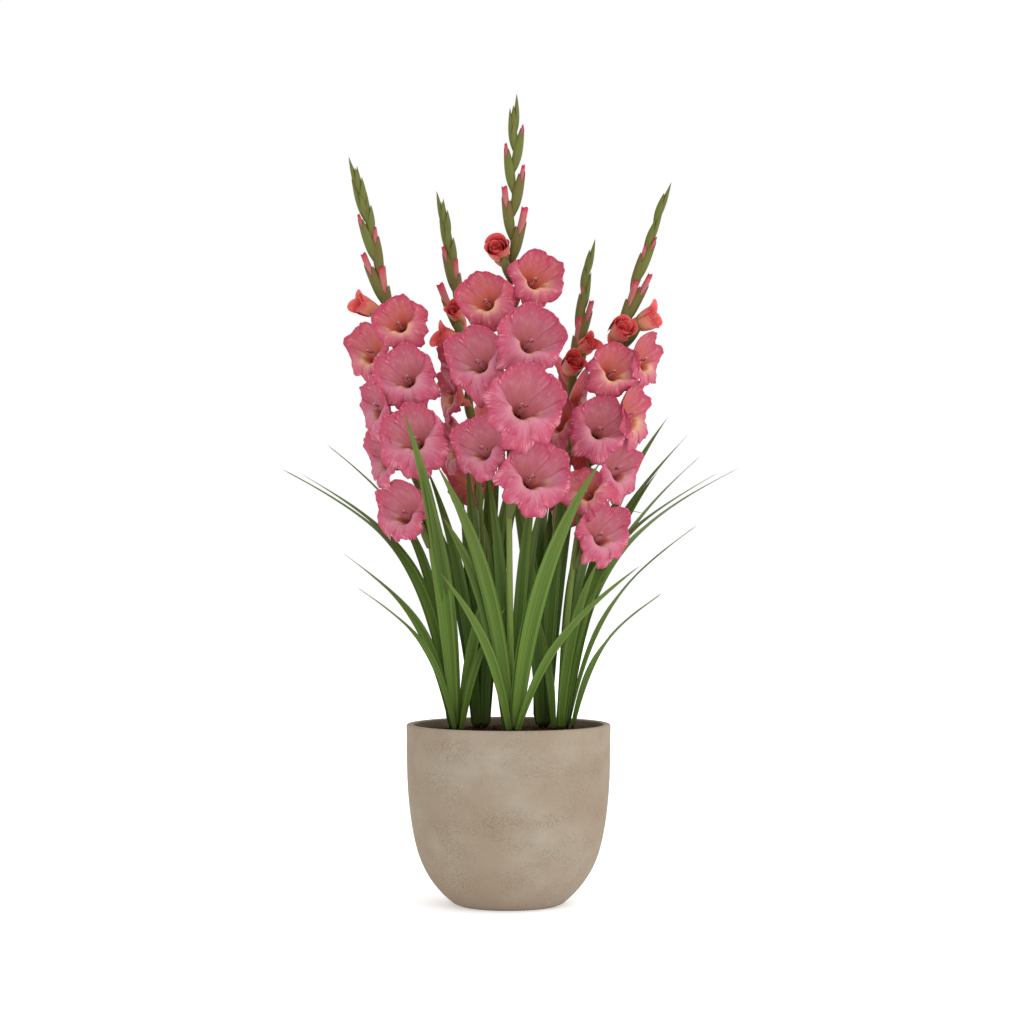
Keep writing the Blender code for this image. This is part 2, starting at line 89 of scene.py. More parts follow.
# A spike leaves the soil at foot, leans and sweeps to its tip, flowers from first and is in bud from bud.
# A floret is (x, z, degrees that it is turned from the front to the right, width).
# A half-open floret is the same, its width that of its mouth. A bud is the (x, z) of its tip.
SPIKES = {
    "centre": {
        "foot": (0.005, -0.050), "lean": (-0.020, 0.0), "sweep": (0.026, 0.0),
        "first": 0.566, "bud": 0.950, "tip": 1.177,
        "buds": [
            (0.024, 1.013), (-0.006, 1.043), (0.022, 1.074), (-0.004, 1.105), (0.021, 1.132),
            (0.002, 1.157), (0.012, 1.177),
        ],
        "florets": [
            (0.034, 0.621, 14, 0.112), (-0.041, 0.664, -32, 0.100), (0.020, 0.721, 10, 0.124),
            (-0.043, 0.787, -16, 0.106), (0.031, 0.815, 14, 0.108), (-0.034, 0.875, -14, 0.090),
            (0.040, 0.906, 16, 0.088),
        ],
        "opening": [(-0.018, 0.959, -12, 0.043)],
        "coral": (5, 6), "flushed": 5,
    },
    "left": {
        "foot": (-0.078, 0.0), "lean": (-0.090, 0.0), "sweep": (-0.061, -0.010),
        "first": 0.520, "bud": 0.872, "tip": 1.091,
        "buds": [
            (-0.185, 0.931), (-0.212, 0.950), (-0.195, 0.988), (-0.219, 1.007), (-0.207, 1.040),
            (-0.229, 1.059), (-0.221, 1.078), (-0.233, 1.091),
        ],
        "florets": [
            (-0.157, 0.572, -34, 0.097), (-0.190, 0.655, -62, 0.097), (-0.135, 0.677, -6, 0.108),
            (-0.200, 0.728, -62, 0.090), (-0.148, 0.767, -8, 0.100), (-0.208, 0.806, -42, 0.088),
            (-0.158, 0.845, -4, 0.083),
        ],
        "opening": [(-0.223, 0.880, -62, 0.037)],
        "coral": (5, 6), "flushed": 4,
    },
    "right": {
        "foot": (0.076, 0.020), "lean": (0.020, 0.0), "sweep": (0.139, -0.020),
        "first": 0.489, "bud": 0.848, "tip": 1.055,
        "buds": [
            (0.187, 0.912), (0.208, 0.921), (0.201, 0.964), (0.216, 0.975), (0.226, 1.017),
            (0.238, 1.055),
        ],
        "florets": [
            (0.141, 0.540, 34, 0.097), (0.112, 0.601, -20, 0.078), (0.168, 0.637, 48, 0.097),
            (0.133, 0.693, 6, 0.096), (0.190, 0.716, 62, 0.098), (0.154, 0.776, 16, 0.086),
            (0.205, 0.796, 56, 0.080),
        ],
        "opening": [(0.172, 0.846, 30, 0.043), (0.218, 0.862, 66, 0.040)],
        "coral": (1, 4, 5, 6), "flushed": 4,
    },
    "left_centre": {
        "foot": (-0.035, 0.030), "lean": (0.020, 0.020), "sweep": (-0.089, 0.020),
        "first": 0.560, "bud": 0.867, "tip": 1.050,
        "buds": [
            (-0.102, 0.911), (-0.079, 0.948), (-0.097, 0.967), (-0.088, 1.000), (-0.103, 1.017),
            (-0.097, 1.039), (-0.107, 1.050),
        ],
        "florets": [
            (-0.060, 0.625, -150, 0.090), (-0.088, 0.672, -72, 0.092), (-0.020, 0.706, 150, 0.090),
            (-0.093, 0.748, -68, 0.086), (-0.034, 0.780, 110, 0.084), (-0.078, 0.790, -40, 0.074),
        ],
        "opening": [(-0.106, 0.836, -74, 0.040), (-0.082, 0.874, -20, 0.030)],
        "coral": (0, 1, 2, 3, 4, 5), "flushed": 3,
    },
    "right_centre": {
        "foot": (0.047, 0.045), "lean": (0.043, 0.020), "sweep": (0.033, 0.015),
        "first": 0.520, "bud": 0.816, "tip": 0.980,
        "buds": [
            (0.106, 0.863), (0.124, 0.887), (0.111, 0.910), (0.123, 0.931), (0.120, 0.959),
            (0.129, 0.980),
        ],
        "florets": [
            (0.096, 0.590, 130, 0.088), (0.052, 0.632, -120, 0.090), (0.112, 0.676, 140, 0.088),
            (0.066, 0.706, -40, 0.088), (0.116, 0.744, 80, 0.084), (0.073, 0.770, -96, 0.080),
        ],
        "opening": [(0.099, 0.797, 22, 0.039), (0.126, 0.826, 50, 0.032)],
        "coral": (0, 1, 2, 3, 4, 5), "flushed": 3,
    },
}

REACH = 0.55  # from the stalk to the middle of the mouth, and the rest, for a floret of width 1
MOUTH_DEPTH = 0.36
TUBE_DROP = 0.38
TUBE_RADIUS = 0.0054
THROAT = 0.062
TILT = math.radians(5)
PETAL_THICK = 0.0003
FILAMENT_RADIUS = 0.00026
STYLE_RADIUS = 0.0003
ANTHER_HALF = 0.0031
BRACT_THICK = 0.0006
SHEATH_THICK = 0.0005
BRACT_DROP = 0.014  # how far below the floret's root its bracts start
BRACT_RISE = 0.036

BUD_LENGTH = 0.082
BUD_RADIUS = 0.0063
BUD_BOW = 0.22  # how far a bud bows outwards, for a radius of 1
# The lowest buds show their petals: each row is the share of the length that shows, how wide the tip is, and
# where the sheath starts to narrow.
FLUSH = (
    (0.37, 0.96, 0.60), (0.28, 0.74, 0.66), (0.18, 0.50, 0.70), (0.12, 0.36, 0.72), (0.08, 0.28, 0.74),
)
WARM_BUDS = 3  # so many of the lowest have warm sheaths

# A fan of leaves stands round each foot: the turn of its flat side from the front, in degrees.
FANS = {"left": 8, "left_centre": -15, "centre": 5, "right_centre": 18, "right": -12, "far_right": 24}
# How a leaf bends on its way out and up, how stiffly, and the turn of its flat side at the tip.
HABITS = {
    "upright": (0.16, 0.62, 0.70, 12),
    "leaning": (0.24, 0.58, 0.80, 16),
    "arching": (0.21, 0.64, 0.84, 62),
    "sweeping": (0.13, 0.70, 0.86, 62),
    "drooping": (0.10, 0.92, 0.92, 70),
}
# A leaf is (fan, habit, tip x, tip z, width of its solid, green); its green is a lit or shaded copy of the
# leaf colour, painted shade that darkens for leaves further back.
LEAVES = {
    "leaf_left_front": ("left", "upright", -0.149, 0.718, 0.030, "light"),
    "leaf_left_inner": ("left_centre", "upright", -0.121, 0.640, 0.026, "deep"),
    "leaf_left_cross": ("left", "leaning", -0.004, 0.520, 0.024, "light"),
    "leaf_left_cross_low": ("left", "leaning", -0.004, 0.436, 0.018, "mid"),
    "leaf_left_arch_1": ("left", "sweeping", -0.333, 0.636, 0.024, "mid"),
    "leaf_left_arch_2": ("left", "sweeping", -0.308, 0.630, 0.024, "light"),
    "leaf_left_arch_3": ("left", "sweeping", -0.272, 0.674, 0.022, "mid"),
    "leaf_left_arch_4": ("left", "arching", -0.240, 0.513, 0.022, "mid"),
    "leaf_left_arch_5": ("left", "arching", -0.218, 0.465, 0.014, "mid"),
    "leaf_left_back": ("left", "drooping", -0.190, 0.560, 0.022, "deep"),
    "leaf_centre_left": ("centre", "upright", -0.103, 0.641, 0.032, "mid"),
    "leaf_centre_low_left": ("centre", "leaning", -0.098, 0.488, 0.020, "light"),
    "leaf_centre_right": ("centre", "upright", 0.133, 0.647, 0.035, "light"),
    "leaf_centre_low_right": ("centre", "leaning", 0.188, 0.496, 0.018, "light"),
    "leaf_centre_back_1": ("centre", "upright", -0.032, 0.640, 0.026, "deep"),
    "leaf_centre_back_2": ("centre", "upright", 0.044, 0.650, 0.026, "deep"),
    "leaf_right_arch_1": ("right", "sweeping", 0.312, 0.632, 0.026, "light"),
    "leaf_right_arch_2": ("right", "arching", 0.269, 0.690, 0.026, "mid"),
    "leaf_right_arch_3": ("right", "upright", 0.239, 0.716, 0.024, "mid"),
    "leaf_right_inner": ("right", "upright", 0.131, 0.503, 0.022, "light"),
    "leaf_right_cross": ("right", "leaning", 0.043, 0.422, 0.018, "mid"),
    "leaf_far_right_1": ("far_right", "sweeping", 0.345, 0.639, 0.022, "mid"),
    "leaf_far_right_2": ("far_right", "arching", 0.286, 0.656, 0.022, "mid"),
    "leaf_far_right_3": ("far_right", "arching", 0.279, 0.553, 0.012, "mid"),
    "leaf_far_right_4": ("far_right", "arching", 0.223, 0.455, 0.016, "mid"),
    "leaf_far_right_back": ("far_right", "drooping", 0.210, 0.570, 0.022, "deep"),
    "leaf_left_centre_1": ("left_centre", "upright", -0.062, 0.660, 0.028, "deep"),
    "leaf_left_centre_2": ("left_centre", "upright", 0.010, 0.650, 0.028, "deep"),
    "leaf_left_centre_3": ("left_centre", "upright", -0.024, 0.690, 0.026, "deep"),
    "leaf_left_centre_back": ("left_centre", "drooping", -0.060, 0.590, 0.024, "deep"),
    "leaf_right_centre_1": ("right_centre", "upright", 0.094, 0.660, 0.030, "deep"),
    "leaf_right_centre_2": ("right_centre", "upright", -0.004, 0.650, 0.030, "deep"),
    "leaf_right_centre_3": ("right_centre", "upright", 0.086, 0.700, 0.026, "deep"),
    "leaf_right_centre_back": ("right_centre", "drooping", 0.080, 0.600, 0.024, "deep"),
    "leaf_far_right_side": ("far_right", "arching", 0.180, 0.640, 0.024, "mid"),
}
LEAF_ROWS = 46
LEAF_COLUMNS = 20
LEAF_FOLD = 0.22
BLADE_SHARE = 0.70  # how much of its solid's width a blade takes at its widest
BLADE_FOOT = 0.62  # how wide a blade is at its foot, for one that is 1 at its widest
BLADE_BELLY = 0.42  # how far up it is widest
# An upright solid at least this wide stands for two blades, the second lower and beside the first.
PAIRED_FROM = 0.022
PAIR_DROP = 0.13
PAIR_SHIFT = 0.009
LEAF_EDGE = 0.00028
LEAF_RIB = 0.00125
TIP_REACH = 0.002  # how near a leaf's tip the corners of its solid's end lie

# Each finish of a piece has a tile of its own on the piece's UV map.
UV_NAME = "OFBake"
TILES = (3, 3)
TILE_MARGIN = 0.02

# The columns and rows of each kind of sheet, and the sides of what is swept along a line.
TEPAL_GRID = (28, 24)
ROLLED_GRID = (18, 16)
BRACT_GRID = (16, 14)
SHEATH_GRID = (20, 20)
BUD_GRID = (18, 22)
STALK_SIDES = 20
TUBE_SIDES = 16
BUD_SIDES = 14
THREAD_SIDES = 6


# ---- finishes


def tone(red, green, blue):
    """A colour given as 0 to 255 on a screen, as the linear colour that a shader takes."""
    parts = (value / 255 for value in (red, green, blue))
    return (*(part / 12.92 if part < 0.04045 else ((part + 0.055) / 1.055) ** 2.4 for part in parts), 1)


class Value:
    """What a node of a finish gives out. A sum with it makes the next node."""

    def __init__(self, finish, socket):
        self.finish, self.socket = finish, socket

    def math(self, operation, other=0.0):
        return self.finish.node("Math", {0: self, 1: other}, operation=operation)

    def __add__(self, other):
        return self.math("ADD", other)

    def __sub__(self, other):
        return self.math("SUBTRACT", other)

    def __rsub__(self, number):
        return self * -1 + number

    def __mul__(self, other):
        return self.math("MULTIPLY", other)

    def at_least(self, level):
        return self.math("MAXIMUM", level)

    def at_most(self, level):
        return self.math("MINIMUM", level)

    def over(self, level):
        """How far it stands above level, and 0 where it is below."""
        return (self - level).at_least(0)


class Finish:
    """A material and the nodes of its shader."""

    def __init__(self, name, roughness, gloss=0.3):
        self.material = bpy.data.materials.new(name)
        self.material.use_nodes = True
        self.tree = self.material.node_tree
        self.surface = self.tree.nodes["Principled BSDF"].inputs
        self.surface["Roughness"].default_value = roughness
        self.surface["Specular IOR Level"].default_value = gloss

    def feed(self, entry, value):
        """The input takes a Value, or a plain number or colour."""
        if isinstance(value, Value):
            self.tree.links.new(value.socket, entry)
        else:
            entry.default_value = value

    def node(self, kind, entries, output=0, **settings):
        """The Value that a new node gives out: entries are its inputs, by name or number."""
        made = self.tree.nodes.new("ShaderNode" + kind)
        for name, setting in settings.items():
            setattr(made, name, setting)
        for key, value in entries.items():
            self.feed(made.inputs[key], value)
        return Value(self, made.outputs[output])

    def object_place(self):
        return self.node("TexCoord", {}, "Object")

    def tile_place(self, tile):
        """0 to 1 across and along a tile of the piece's own UV map."""
        spread = 1 / (1 - 2 * TILE_MARGIN)
        column, row = tile % TILES[0], tile // TILES[0]
        shift = (-(column + TILE_MARGIN) * spread, -(row + TILE_MARGIN) * spread, 0)
        place = self.node("UVMap", {}, uv_map=UV_NAME)
        return self.mapped(place, (TILES[0] * spread, TILES[1] * spread, 1), shift)

    def mapped(self, place, stretch, shift=(0, 0, 0)):
        """The place, stretched and then moved."""
        return self.node("Mapping", {"Vector": place, "Scale": stretch, "Location": shift})

    def split(self, place):
        """The x, y and z of place."""
        first = self.node("SeparateXYZ", {"Vector": place})
        return [Value(self, socket) for socket in first.socket.node.outputs]

    def grain(self, place, stretch, shift=(0, 0, 0), detail=3.0, roughness=0.55):
        """Noise of about stretch grains over 1 of place, on all axes alike or on each its own."""
        scale = stretch if isinstance(stretch, tuple) else (stretch, stretch, stretch)
        entries = {"Vector": self.mapped(place, scale, shift), "Scale": 1.0, "Detail": detail}
        return self.node("TexNoise", {**entries, "Roughness": roughness})

    def ramp(self, value, stops):
        """The colours of stops, each (place, red, green, blue), along value."""
        shade = self.node("ValToRGB", {"Fac": value})
        marks = shade.socket.node.color_ramp.elements
        while len(marks) < len(stops):
            marks.new(0.5)
        for mark, (place, *colour) in zip(marks, stops):
            mark.position = place
            mark.color = tone(*colour)
        return shade

    def blended(self, share, first, second):
        """Two colours mixed, with this share of the second."""
        return self.node("Mix", {0: share, 6: first, 7: second}, 2, data_type="RGBA")

    def done(self, shade, height=None, strength=0.0, distance=0.0):
        """The material in this colour, with a relief where there is a height."""
        self.feed(self.surface["Base Color"], shade)
        if height is not None:
            relief = self.node("Bump", {"Height": height, "Strength": strength, "Distance": distance})
            self.feed(self.surface["Normal"], relief)
        return self.material


# The colours from throat to margin of each kind of tepal, and from foot to tip of the tube and the buds.
PETAL_TONES = {
    "rose_inside": (
        (0.00, 92, 26, 24), (0.10, 146, 62, 60), (0.24, 182, 98, 102), (0.48, 179, 98, 109),
        (0.70, 174, 93, 108), (0.86, 178, 80, 102), (0.98, 176, 60, 90),
    ),
    "rose_lip": (
        (0.00, 92, 26, 24), (0.20, 138, 58, 52), (0.36, 168, 88, 84), (0.50, 194, 140, 130),
        (0.60, 188, 120, 136), (0.78, 179, 97, 118), (0.96, 175, 66, 94),
    ),
    "coral_inside": (
        (0.00, 124, 32, 16), (0.14, 164, 58, 40), (0.32, 188, 92, 72), (0.52, 184, 93, 92),
        (0.74, 182, 88, 98), (0.88, 180, 74, 92), (0.98, 174, 58, 84),
    ),
    "coral_lip": (
        (0.00, 124, 32, 16), (0.22, 154, 60, 36), (0.38, 184, 106, 72), (0.52, 208, 164, 126),
        (0.62, 196, 136, 122), (0.76, 184, 100, 110), (0.96, 174, 64, 90),
    ),
    "rose_outside": (
        (0.00, 192, 126, 92), (0.22, 204, 112, 92), (0.60, 203, 94, 88),
        (0.88, 197, 80, 90), (1.00, 184, 64, 86),
    ),
    "tube": (
        (0.00, 132, 124, 68), (0.30, 172, 110, 80), (0.66, 180, 90, 80), (0.84, 116, 38, 32),
        (1.00, 58, 12, 10),
    ),
    "rolled": (
        (0.00, 140, 118, 66), (0.22, 196, 134, 96), (0.55, 203, 120, 98),
        (0.78, 204, 94, 86), (1.00, 200, 62, 66),
    ),
    "rolled_heart": (
        (0.00, 88, 14, 10), (0.30, 178, 46, 38), (0.62, 222, 78, 70), (1.00, 224, 98, 94),
    ),
    "bud_petal": (
        (0.00, 158, 112, 78), (0.35, 162, 100, 86), (0.64, 168, 92, 90), (0.75, 176, 72, 80),
        (0.81, 178, 32, 48), (0.88, 162, 24, 38), (1.00, 96, 12, 18),
    ),
}
PETAL_TILES = {kind: tile for tile, kind in enumerate(PETAL_TONES)}
PETAL_RIB = tone(158, 74, 88)
VEIN_LIGHT = tone(214, 146, 158)
VEIN_DEEP = tone(172, 38, 76)

# The colours near the base, in the middle and near the tip of each kind of leaf. The kinds are lit and shaded
# copies of one green, painted shade: light for leaves in front, mid and deep for those further back, and dim
# for the second blades behind deep ones.
LEAF_LIT_AND_SHADED_TONES = {
    "light": ((82, 108, 32), (86, 111, 44), (96, 115, 52)),
    "mid": ((73, 98, 28), (79, 103, 38), (99, 112, 55)),
    "deep": ((60, 86, 21), (70, 94, 31), (87, 102, 44)),
    "dim": ((42, 63, 14), (51, 72, 20), (72, 85, 33)),
}

# The colours from base to tip of the bracts, and of the sheaths of the lowest buds.
BRACT_TONES = {
    "bract_green": ((0.0, 90, 94, 40), (0.5, 94, 101, 46), (0.9, 98, 98, 46), (1.0, 118, 84, 58)),
    "bract_warm": ((0.0, 86, 90, 38), (0.5, 93, 90, 41), (0.9, 102, 84, 46), (1.0, 124, 74, 58)),
}
GREEN, WARM = range(2)

STALK_TONES = ((0.0, 76, 100, 28), (0.18, 104, 126, 46), (0.45, 112, 126, 58), (1.0, 92, 94, 46))

# The colours at the two ends of what stands in a floret's throat, and its roughness.
THREAD_TONES = {
    "filament": ((182, 110, 106), (200, 146, 146), 0.5),
    "anther": ((74, 30, 42), (98, 48, 62), 0.7),
    "style_lobe": ((206, 158, 156), (220, 180, 178), 0.5),
}
FILAMENT, ANTHER, STYLE_LOBE = range(3)


def petal_material(kind, tile):
    """Short light and deep streaks fan out towards the margin, in patches, over a soft mottle."""
    finish = Finish(kind, 0.6)
    place = finish.tile_place(tile)
    across, along, _ = finish.split(place)
    veins = finish.grain(place, (30, 3.4, 1))
    flecks = finish.grain(place, (15, 9, 1), (0, 5, tile), 4.0, 0.65)
    uneven = finish.grain(place, (6, 4.5, 1), (3, tile, 0)) - 0.5
    lines = (veins + flecks) * 0.5 - 0.5
    outer = along.math("POWER", 3)
    shade = finish.ramp(along + outer * (lines * 0.50 + uneven * 0.40), PETAL_TONES[kind])
    off_rib = ((across - 0.5).math("ABSOLUTE") * 26).at_most(1)
    shade = finish.blended((1 - off_rib) * 0.08, shade, PETAL_RIB)
    streaks = lines * (outer * uneven.over(-0.22) * 13 + along * 0.5)
    change = streaks + uneven * along * 1.4
    shade = finish.blended(change.at_least(0), shade, VEIN_LIGHT)
    shade = finish.blended((change * -1.5).at_least(0), shade, VEIN_DEEP)
    return finish.done(shade, veins, 0.20, 0.0006)


def leaf_material(kind, tile):
    """Fine ribs and broad bands run from base to tip, and the tip dries a little."""
    finish = Finish("leaf_" + kind, 0.45, 0.14)
    place = finish.tile_place(tile)
    along = finish.split(place)[1]
    ribs = finish.grain(place, (64, 1.1, 1), (tile, 0, 0), 2.0)
    bands = finish.grain(place, (13, 0.8, 1), (0, 0, tile), 1.0)
    patches = finish.grain(place, (5, 7, 1), (0, tile, 0))
    # The tones of a lit or shaded copy of the leaf green: painted shade.
    base, body, tip = LEAF_LIT_AND_SHADED_TONES[kind]
    stops = ((0.0, 58, 66, 26), (0.08, *base), (0.45, *body), (0.93, *tip), (1.0, 112, 96, 54))
    shade = finish.ramp(along + (patches - 0.5) * 0.18, stops)
    lines = ribs * 0.55 + bands * 0.45
    shade = finish.blended((lines - 0.47) * 2.2, shade, tone(110, 132, 62))
    shade = finish.blended((0.51 - lines) * 3.2, shade, tone(28, 46, 10))
    return finish.done(shade, ribs, 0.45, 0.0005)


def bract_material(kind, tile):
    """Lengthwise ribs over its colours from base to tip."""
    finish = Finish(kind, 0.5, 0.18)
    place = finish.tile_place(tile)
    along = finish.split(place)[1]
    ribs = finish.grain(place, (22, 1.3, 1), detail=2.0)
    shade = finish.ramp(along + (ribs - 0.5) * 0.22, BRACT_TONES[kind])
    shade = finish.blended(ribs * 0.26, shade, tone(118, 118, 64))
    return finish.done(shade, ribs, 0.4, 0.0005)


def stem_material():
    """Deep green at the foot and paler above, with faint ribs."""
    finish = Finish("stem_green", 0.45)
    place = finish.tile_place(0)
    along = finish.split(place)[1]
    ribs = finish.grain(place, (18, 4, 1), detail=2.0)
    shade = finish.blended(ribs * 0.30, finish.ramp(along, STALK_TONES), tone(78, 98, 34))
    return finish.done(shade, ribs, 0.3, 0.0005)


def thread_material(kind, tile):
    """One colour that runs into another from end to end, with a fine grain."""
    low, high, roughness = THREAD_TONES[kind]
    finish = Finish(kind, roughness)
    place = finish.tile_place(tile)
    along = finish.split(place)[1]
    speck = finish.grain(place, (14, 40, 1), detail=2.0)
    return finish.done(finish.ramp(along + (speck - 0.5) * 0.3, ((0.0, *low), (1.0, *high))))


def stoneware():
    """Pale sandy clay: soft clouds, throwing lines, worn patches and fine specks, and painted shade on the
    inner wall, darker towards the soil.
    """
    finish = Finish("stoneware", 0.88)
    place = finish.object_place()
    x, y, height = finish.split(place)
    clouds = finish.grain(place, 9, detail=4.0, roughness=0.6)
    bands = finish.grain(place, (3, 3, 120), detail=2.0)
    worn = finish.grain(place, (17, 17, 30.6), detail=4.0)
    marks = finish.grain(place, (360, 360, 540))
    sand = finish.grain(place, 520, detail=2.0, roughness=0.6)
    grit = finish.grain(place, 260, (702, 0, 0), 2.0, 0.5)
    # Painted shade: the inner wall between the rim and the soil darkens towards the soil.
    inner = (x * x + y * y).math("LESS_THAN", (POT_RIM - 0.6 * POT_WALL) ** 2)
    inner *= height.math("GREATER_THAN", 0.75 * POT_HEIGHT)
    painted_inner_shade = inner * ((POT_HEIGHT - height) * (0.8 / SOIL_BELOW_RIM)).at_most(1)
    shade = finish.ramp(clouds, ((0.30, 141, 125, 106), (0.50, 147, 133, 115), (0.70, 156, 145, 130)))
    for share, colour in (
        ((bands - 0.45) * 0.5, tone(138, 120, 101)),
        (worn.over(0.41) * marks.over(0.45) * 13, tone(116, 98, 78)),
        (sand.over(0.60) * 2.6, tone(100, 84, 68)),
        (grit.over(0.62) * 1.7, tone(180, 167, 147)),
        ((1 - (height * 9).at_most(1)) * 0.22, tone(132, 110, 90)),
        # painted shade on the inner wall
        (painted_inner_shade, tone(92, 68, 48)),
    ):
        shade = finish.blended(share, shade, colour)
    return finish.done(shade, sand + grit * 0.6, 0.45, 0.0007)


def compost():
    finish = Finish("compost", 0.95, 0.04)
    crumbs = finish.grain(finish.object_place(), 160, detail=4.0, roughness=0.7)
    shade = finish.ramp(crumbs, ((0.30, 28, 16, 9), (0.55, 54, 33, 21), (0.78, 88, 58, 38)))
    return finish.done(shade, crumbs, 0.9, 0.0015)


# ---- shapes and pieces


def patch(columns, rows, place):
    """A grid of columns and rows whose corners go to place(across, along), each from 0 to 1."""
    bm = bmesh.new()
    bm.loops.layers.uv.new(UV_NAME)
    bmesh.ops.create_grid(bm, x_segments=columns, y_segments=rows, size=0.5, calc_uvs=True)
    for corner in bm.verts:
        corner.co = place(corner.co.x + 0.5, corner.co.y + 0.5)
    bm.normal_update()
    return bm


def walled(bm, thick, front, back):
    """The sheet gets a thickness behind it: its front and rim take one finish, its back the other."""
    sheet = set(bm.faces)
    bmesh.ops.solidify(bm, geom=bm.faces[:], thickness=thick)
    fronts = {face for shown in sheet for edge in shown.edges for face in edge.link_faces}
    for face in bm.faces:
        face.material_index = front if face in fronts else back
    return bm


def sealed(bm, finish):
    """The seam and the ends of a rolled grid are merged, and it faces outwards."""
    bmesh.ops.remove_doubles(bm, verts=bm.verts, dist=1e-6)
    bmesh.ops.recalc_face_normals(bm, faces=bm.faces)
    for face in bm.faces:
        face.material_index = finish
    return bm


def square(way, line):
    """The way nearest to this one that is square to the line."""
    return (way - line * way.dot(line)).normalized()


def around(first, second, turn):
    """The way at this turn from first towards second."""
    return first * math.cos(turn) + second * math.sin(turn)


def eased(share):
    """From 0 to 1 as share goes, with a soft start and end."""
    share = min(max(share, 0), 1)
    return share * share * (3 - 2 * share)


def ridge(t, spread):
    """1 at the middle line, and little beyond spread on either side of it."""
    return math.exp(-((t / spread) ** 2))


def curve(controls, t):
    """The value or point at t of a cubic curve with these four controls."""
    rest = 1 - t
    start, low, high, end = controls
    return start * rest**3 + low * 3 * t * rest**2 + high * 3 * t * t * rest + end * t**3


def slope(controls, t):
    """How fast the same curve goes at t."""
    rest = 1 - t
    start, low, high, end = controls
    return 3 * ((low - start) * rest**2 + 2 * (high - low) * rest * t + (end - high) * t**2)


def bent(controls, steps):
    """The steps + 1 points of a curve."""
    return [curve(controls, i / steps) for i in range(steps + 1)]


def swept(stations, columns, finish):
    """A closed skin round a row of stations, each (middle, a way across, the other way across)."""
    rows = len(stations) - 1

    def place(across, along):
        middle, first, second = stations[round(along * rows)]
        return middle + around(first, second, math.tau * across)

    return sealed(patch(columns, rows, place), finish)


def path_stations(points, radii, side):
    """Round stations along a row of points, square to the way that they run."""
    stations = []
    for i, (point, radius) in enumerate(zip(points, radii)):
        way = (points[min(i + 1, len(points) - 1)] - points[max(i - 1, 0)]).normalized()
        across = square(side, way)
        stations.append((point, across * radius, way.cross(across) * radius))
    return stations


def set_tiles(mesh):
    """Each face's corners on the UV map go to the tile of its finish."""
    layer = mesh.uv_layers[UV_NAME]
    flat = np.empty(len(mesh.loops) * 2, np.float32)
    layer.uv.foreach_get("vector", flat)
    spots = flat.reshape(-1, 2)
    finishes = np.empty(len(mesh.polygons), np.int32)
    corners = np.empty(len(mesh.polygons), np.int32)
    mesh.polygons.foreach_get("material_index", finishes)
    mesh.polygons.foreach_get("loop_total", corners)
    finish = np.repeat(finishes, corners)
    spots = spots * (1 - 2 * TILE_MARGIN) + TILE_MARGIN
    spots[:, 0] = (spots[:, 0] + finish % TILES[0]) / TILES[0]
    spots[:, 1] = (spots[:, 1] + finish // TILES[0]) / TILES[1]
    layer.uv.foreach_set("vector", spots.ravel())


def gather(parts):
    """One bmesh that holds all of parts, which are freed."""
    whole = bmesh.new()
    for part in parts:
        held = bpy.data.meshes.new("held")
        part.to_mesh(held)
        part.free()
        whole.from_mesh(held)
        bpy.data.meshes.remove(held)
    return whole


def piece(name, parts, materials, nodes, tiled=True):
    """The parts as one object that stands for these solids."""
    bm = gather(parts)
    for face in bm.faces:
        face.smooth = True
    mesh = bpy.data.meshes.new(name)
    bm.to_mesh(mesh)
    bm.free()
    for material in materials:
        mesh.materials.append(material)
    if tiled:
        set_tiles(mesh)
    made = bpy.data.objects.new(name, mesh)
    bpy.context.scene.collection.objects.link(made)
    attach(made, "root")
    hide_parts(*nodes)


# ---- pot and soil


def pot_radius(height):
    return POT_RIM - (POT_RIM - POT_FOOT) * math.exp(-POT_SWELL * height / POT_HEIGHT)


def hollow_radius(height):
    return pot_radius(height) - POT_WALL


def soil_height(radius):
    edge = hollow_radius(POT_HEIGHT)
    return POT_HEIGHT - SOIL_BELOW_RIM + SOIL_DOME * (1 - (radius / edge) ** 2)


def turned(profile, sides):
    """The profile of (radius, height), from axis to axis, turned once round."""
    bm = bmesh.new()
    line = [bm.verts.new((radius, 0, height)) for radius, height in profile]
    edges = [bm.edges.new(pair) for pair in zip(line, line[1:])]
    bmesh.ops.spin(
        bm, geom=line + edges, cent=(0, 0, 0), axis=(0, 0, 1),
        angle=math.tau, steps=sides, use_merge=True,
    )
    bmesh.ops.remove_doubles(bm, verts=bm.verts, dist=1e-6)
    bmesh.ops.recalc_face_normals(bm, faces=bm.faces)
    return bm


def arc(middle, radius, start, end, steps):
    turns = (math.radians(start + (end - start) * i / steps) for i in range(steps + 1))
    return [(middle[0] + radius * math.cos(a), middle[1] + radius * math.sin(a)) for a in turns]


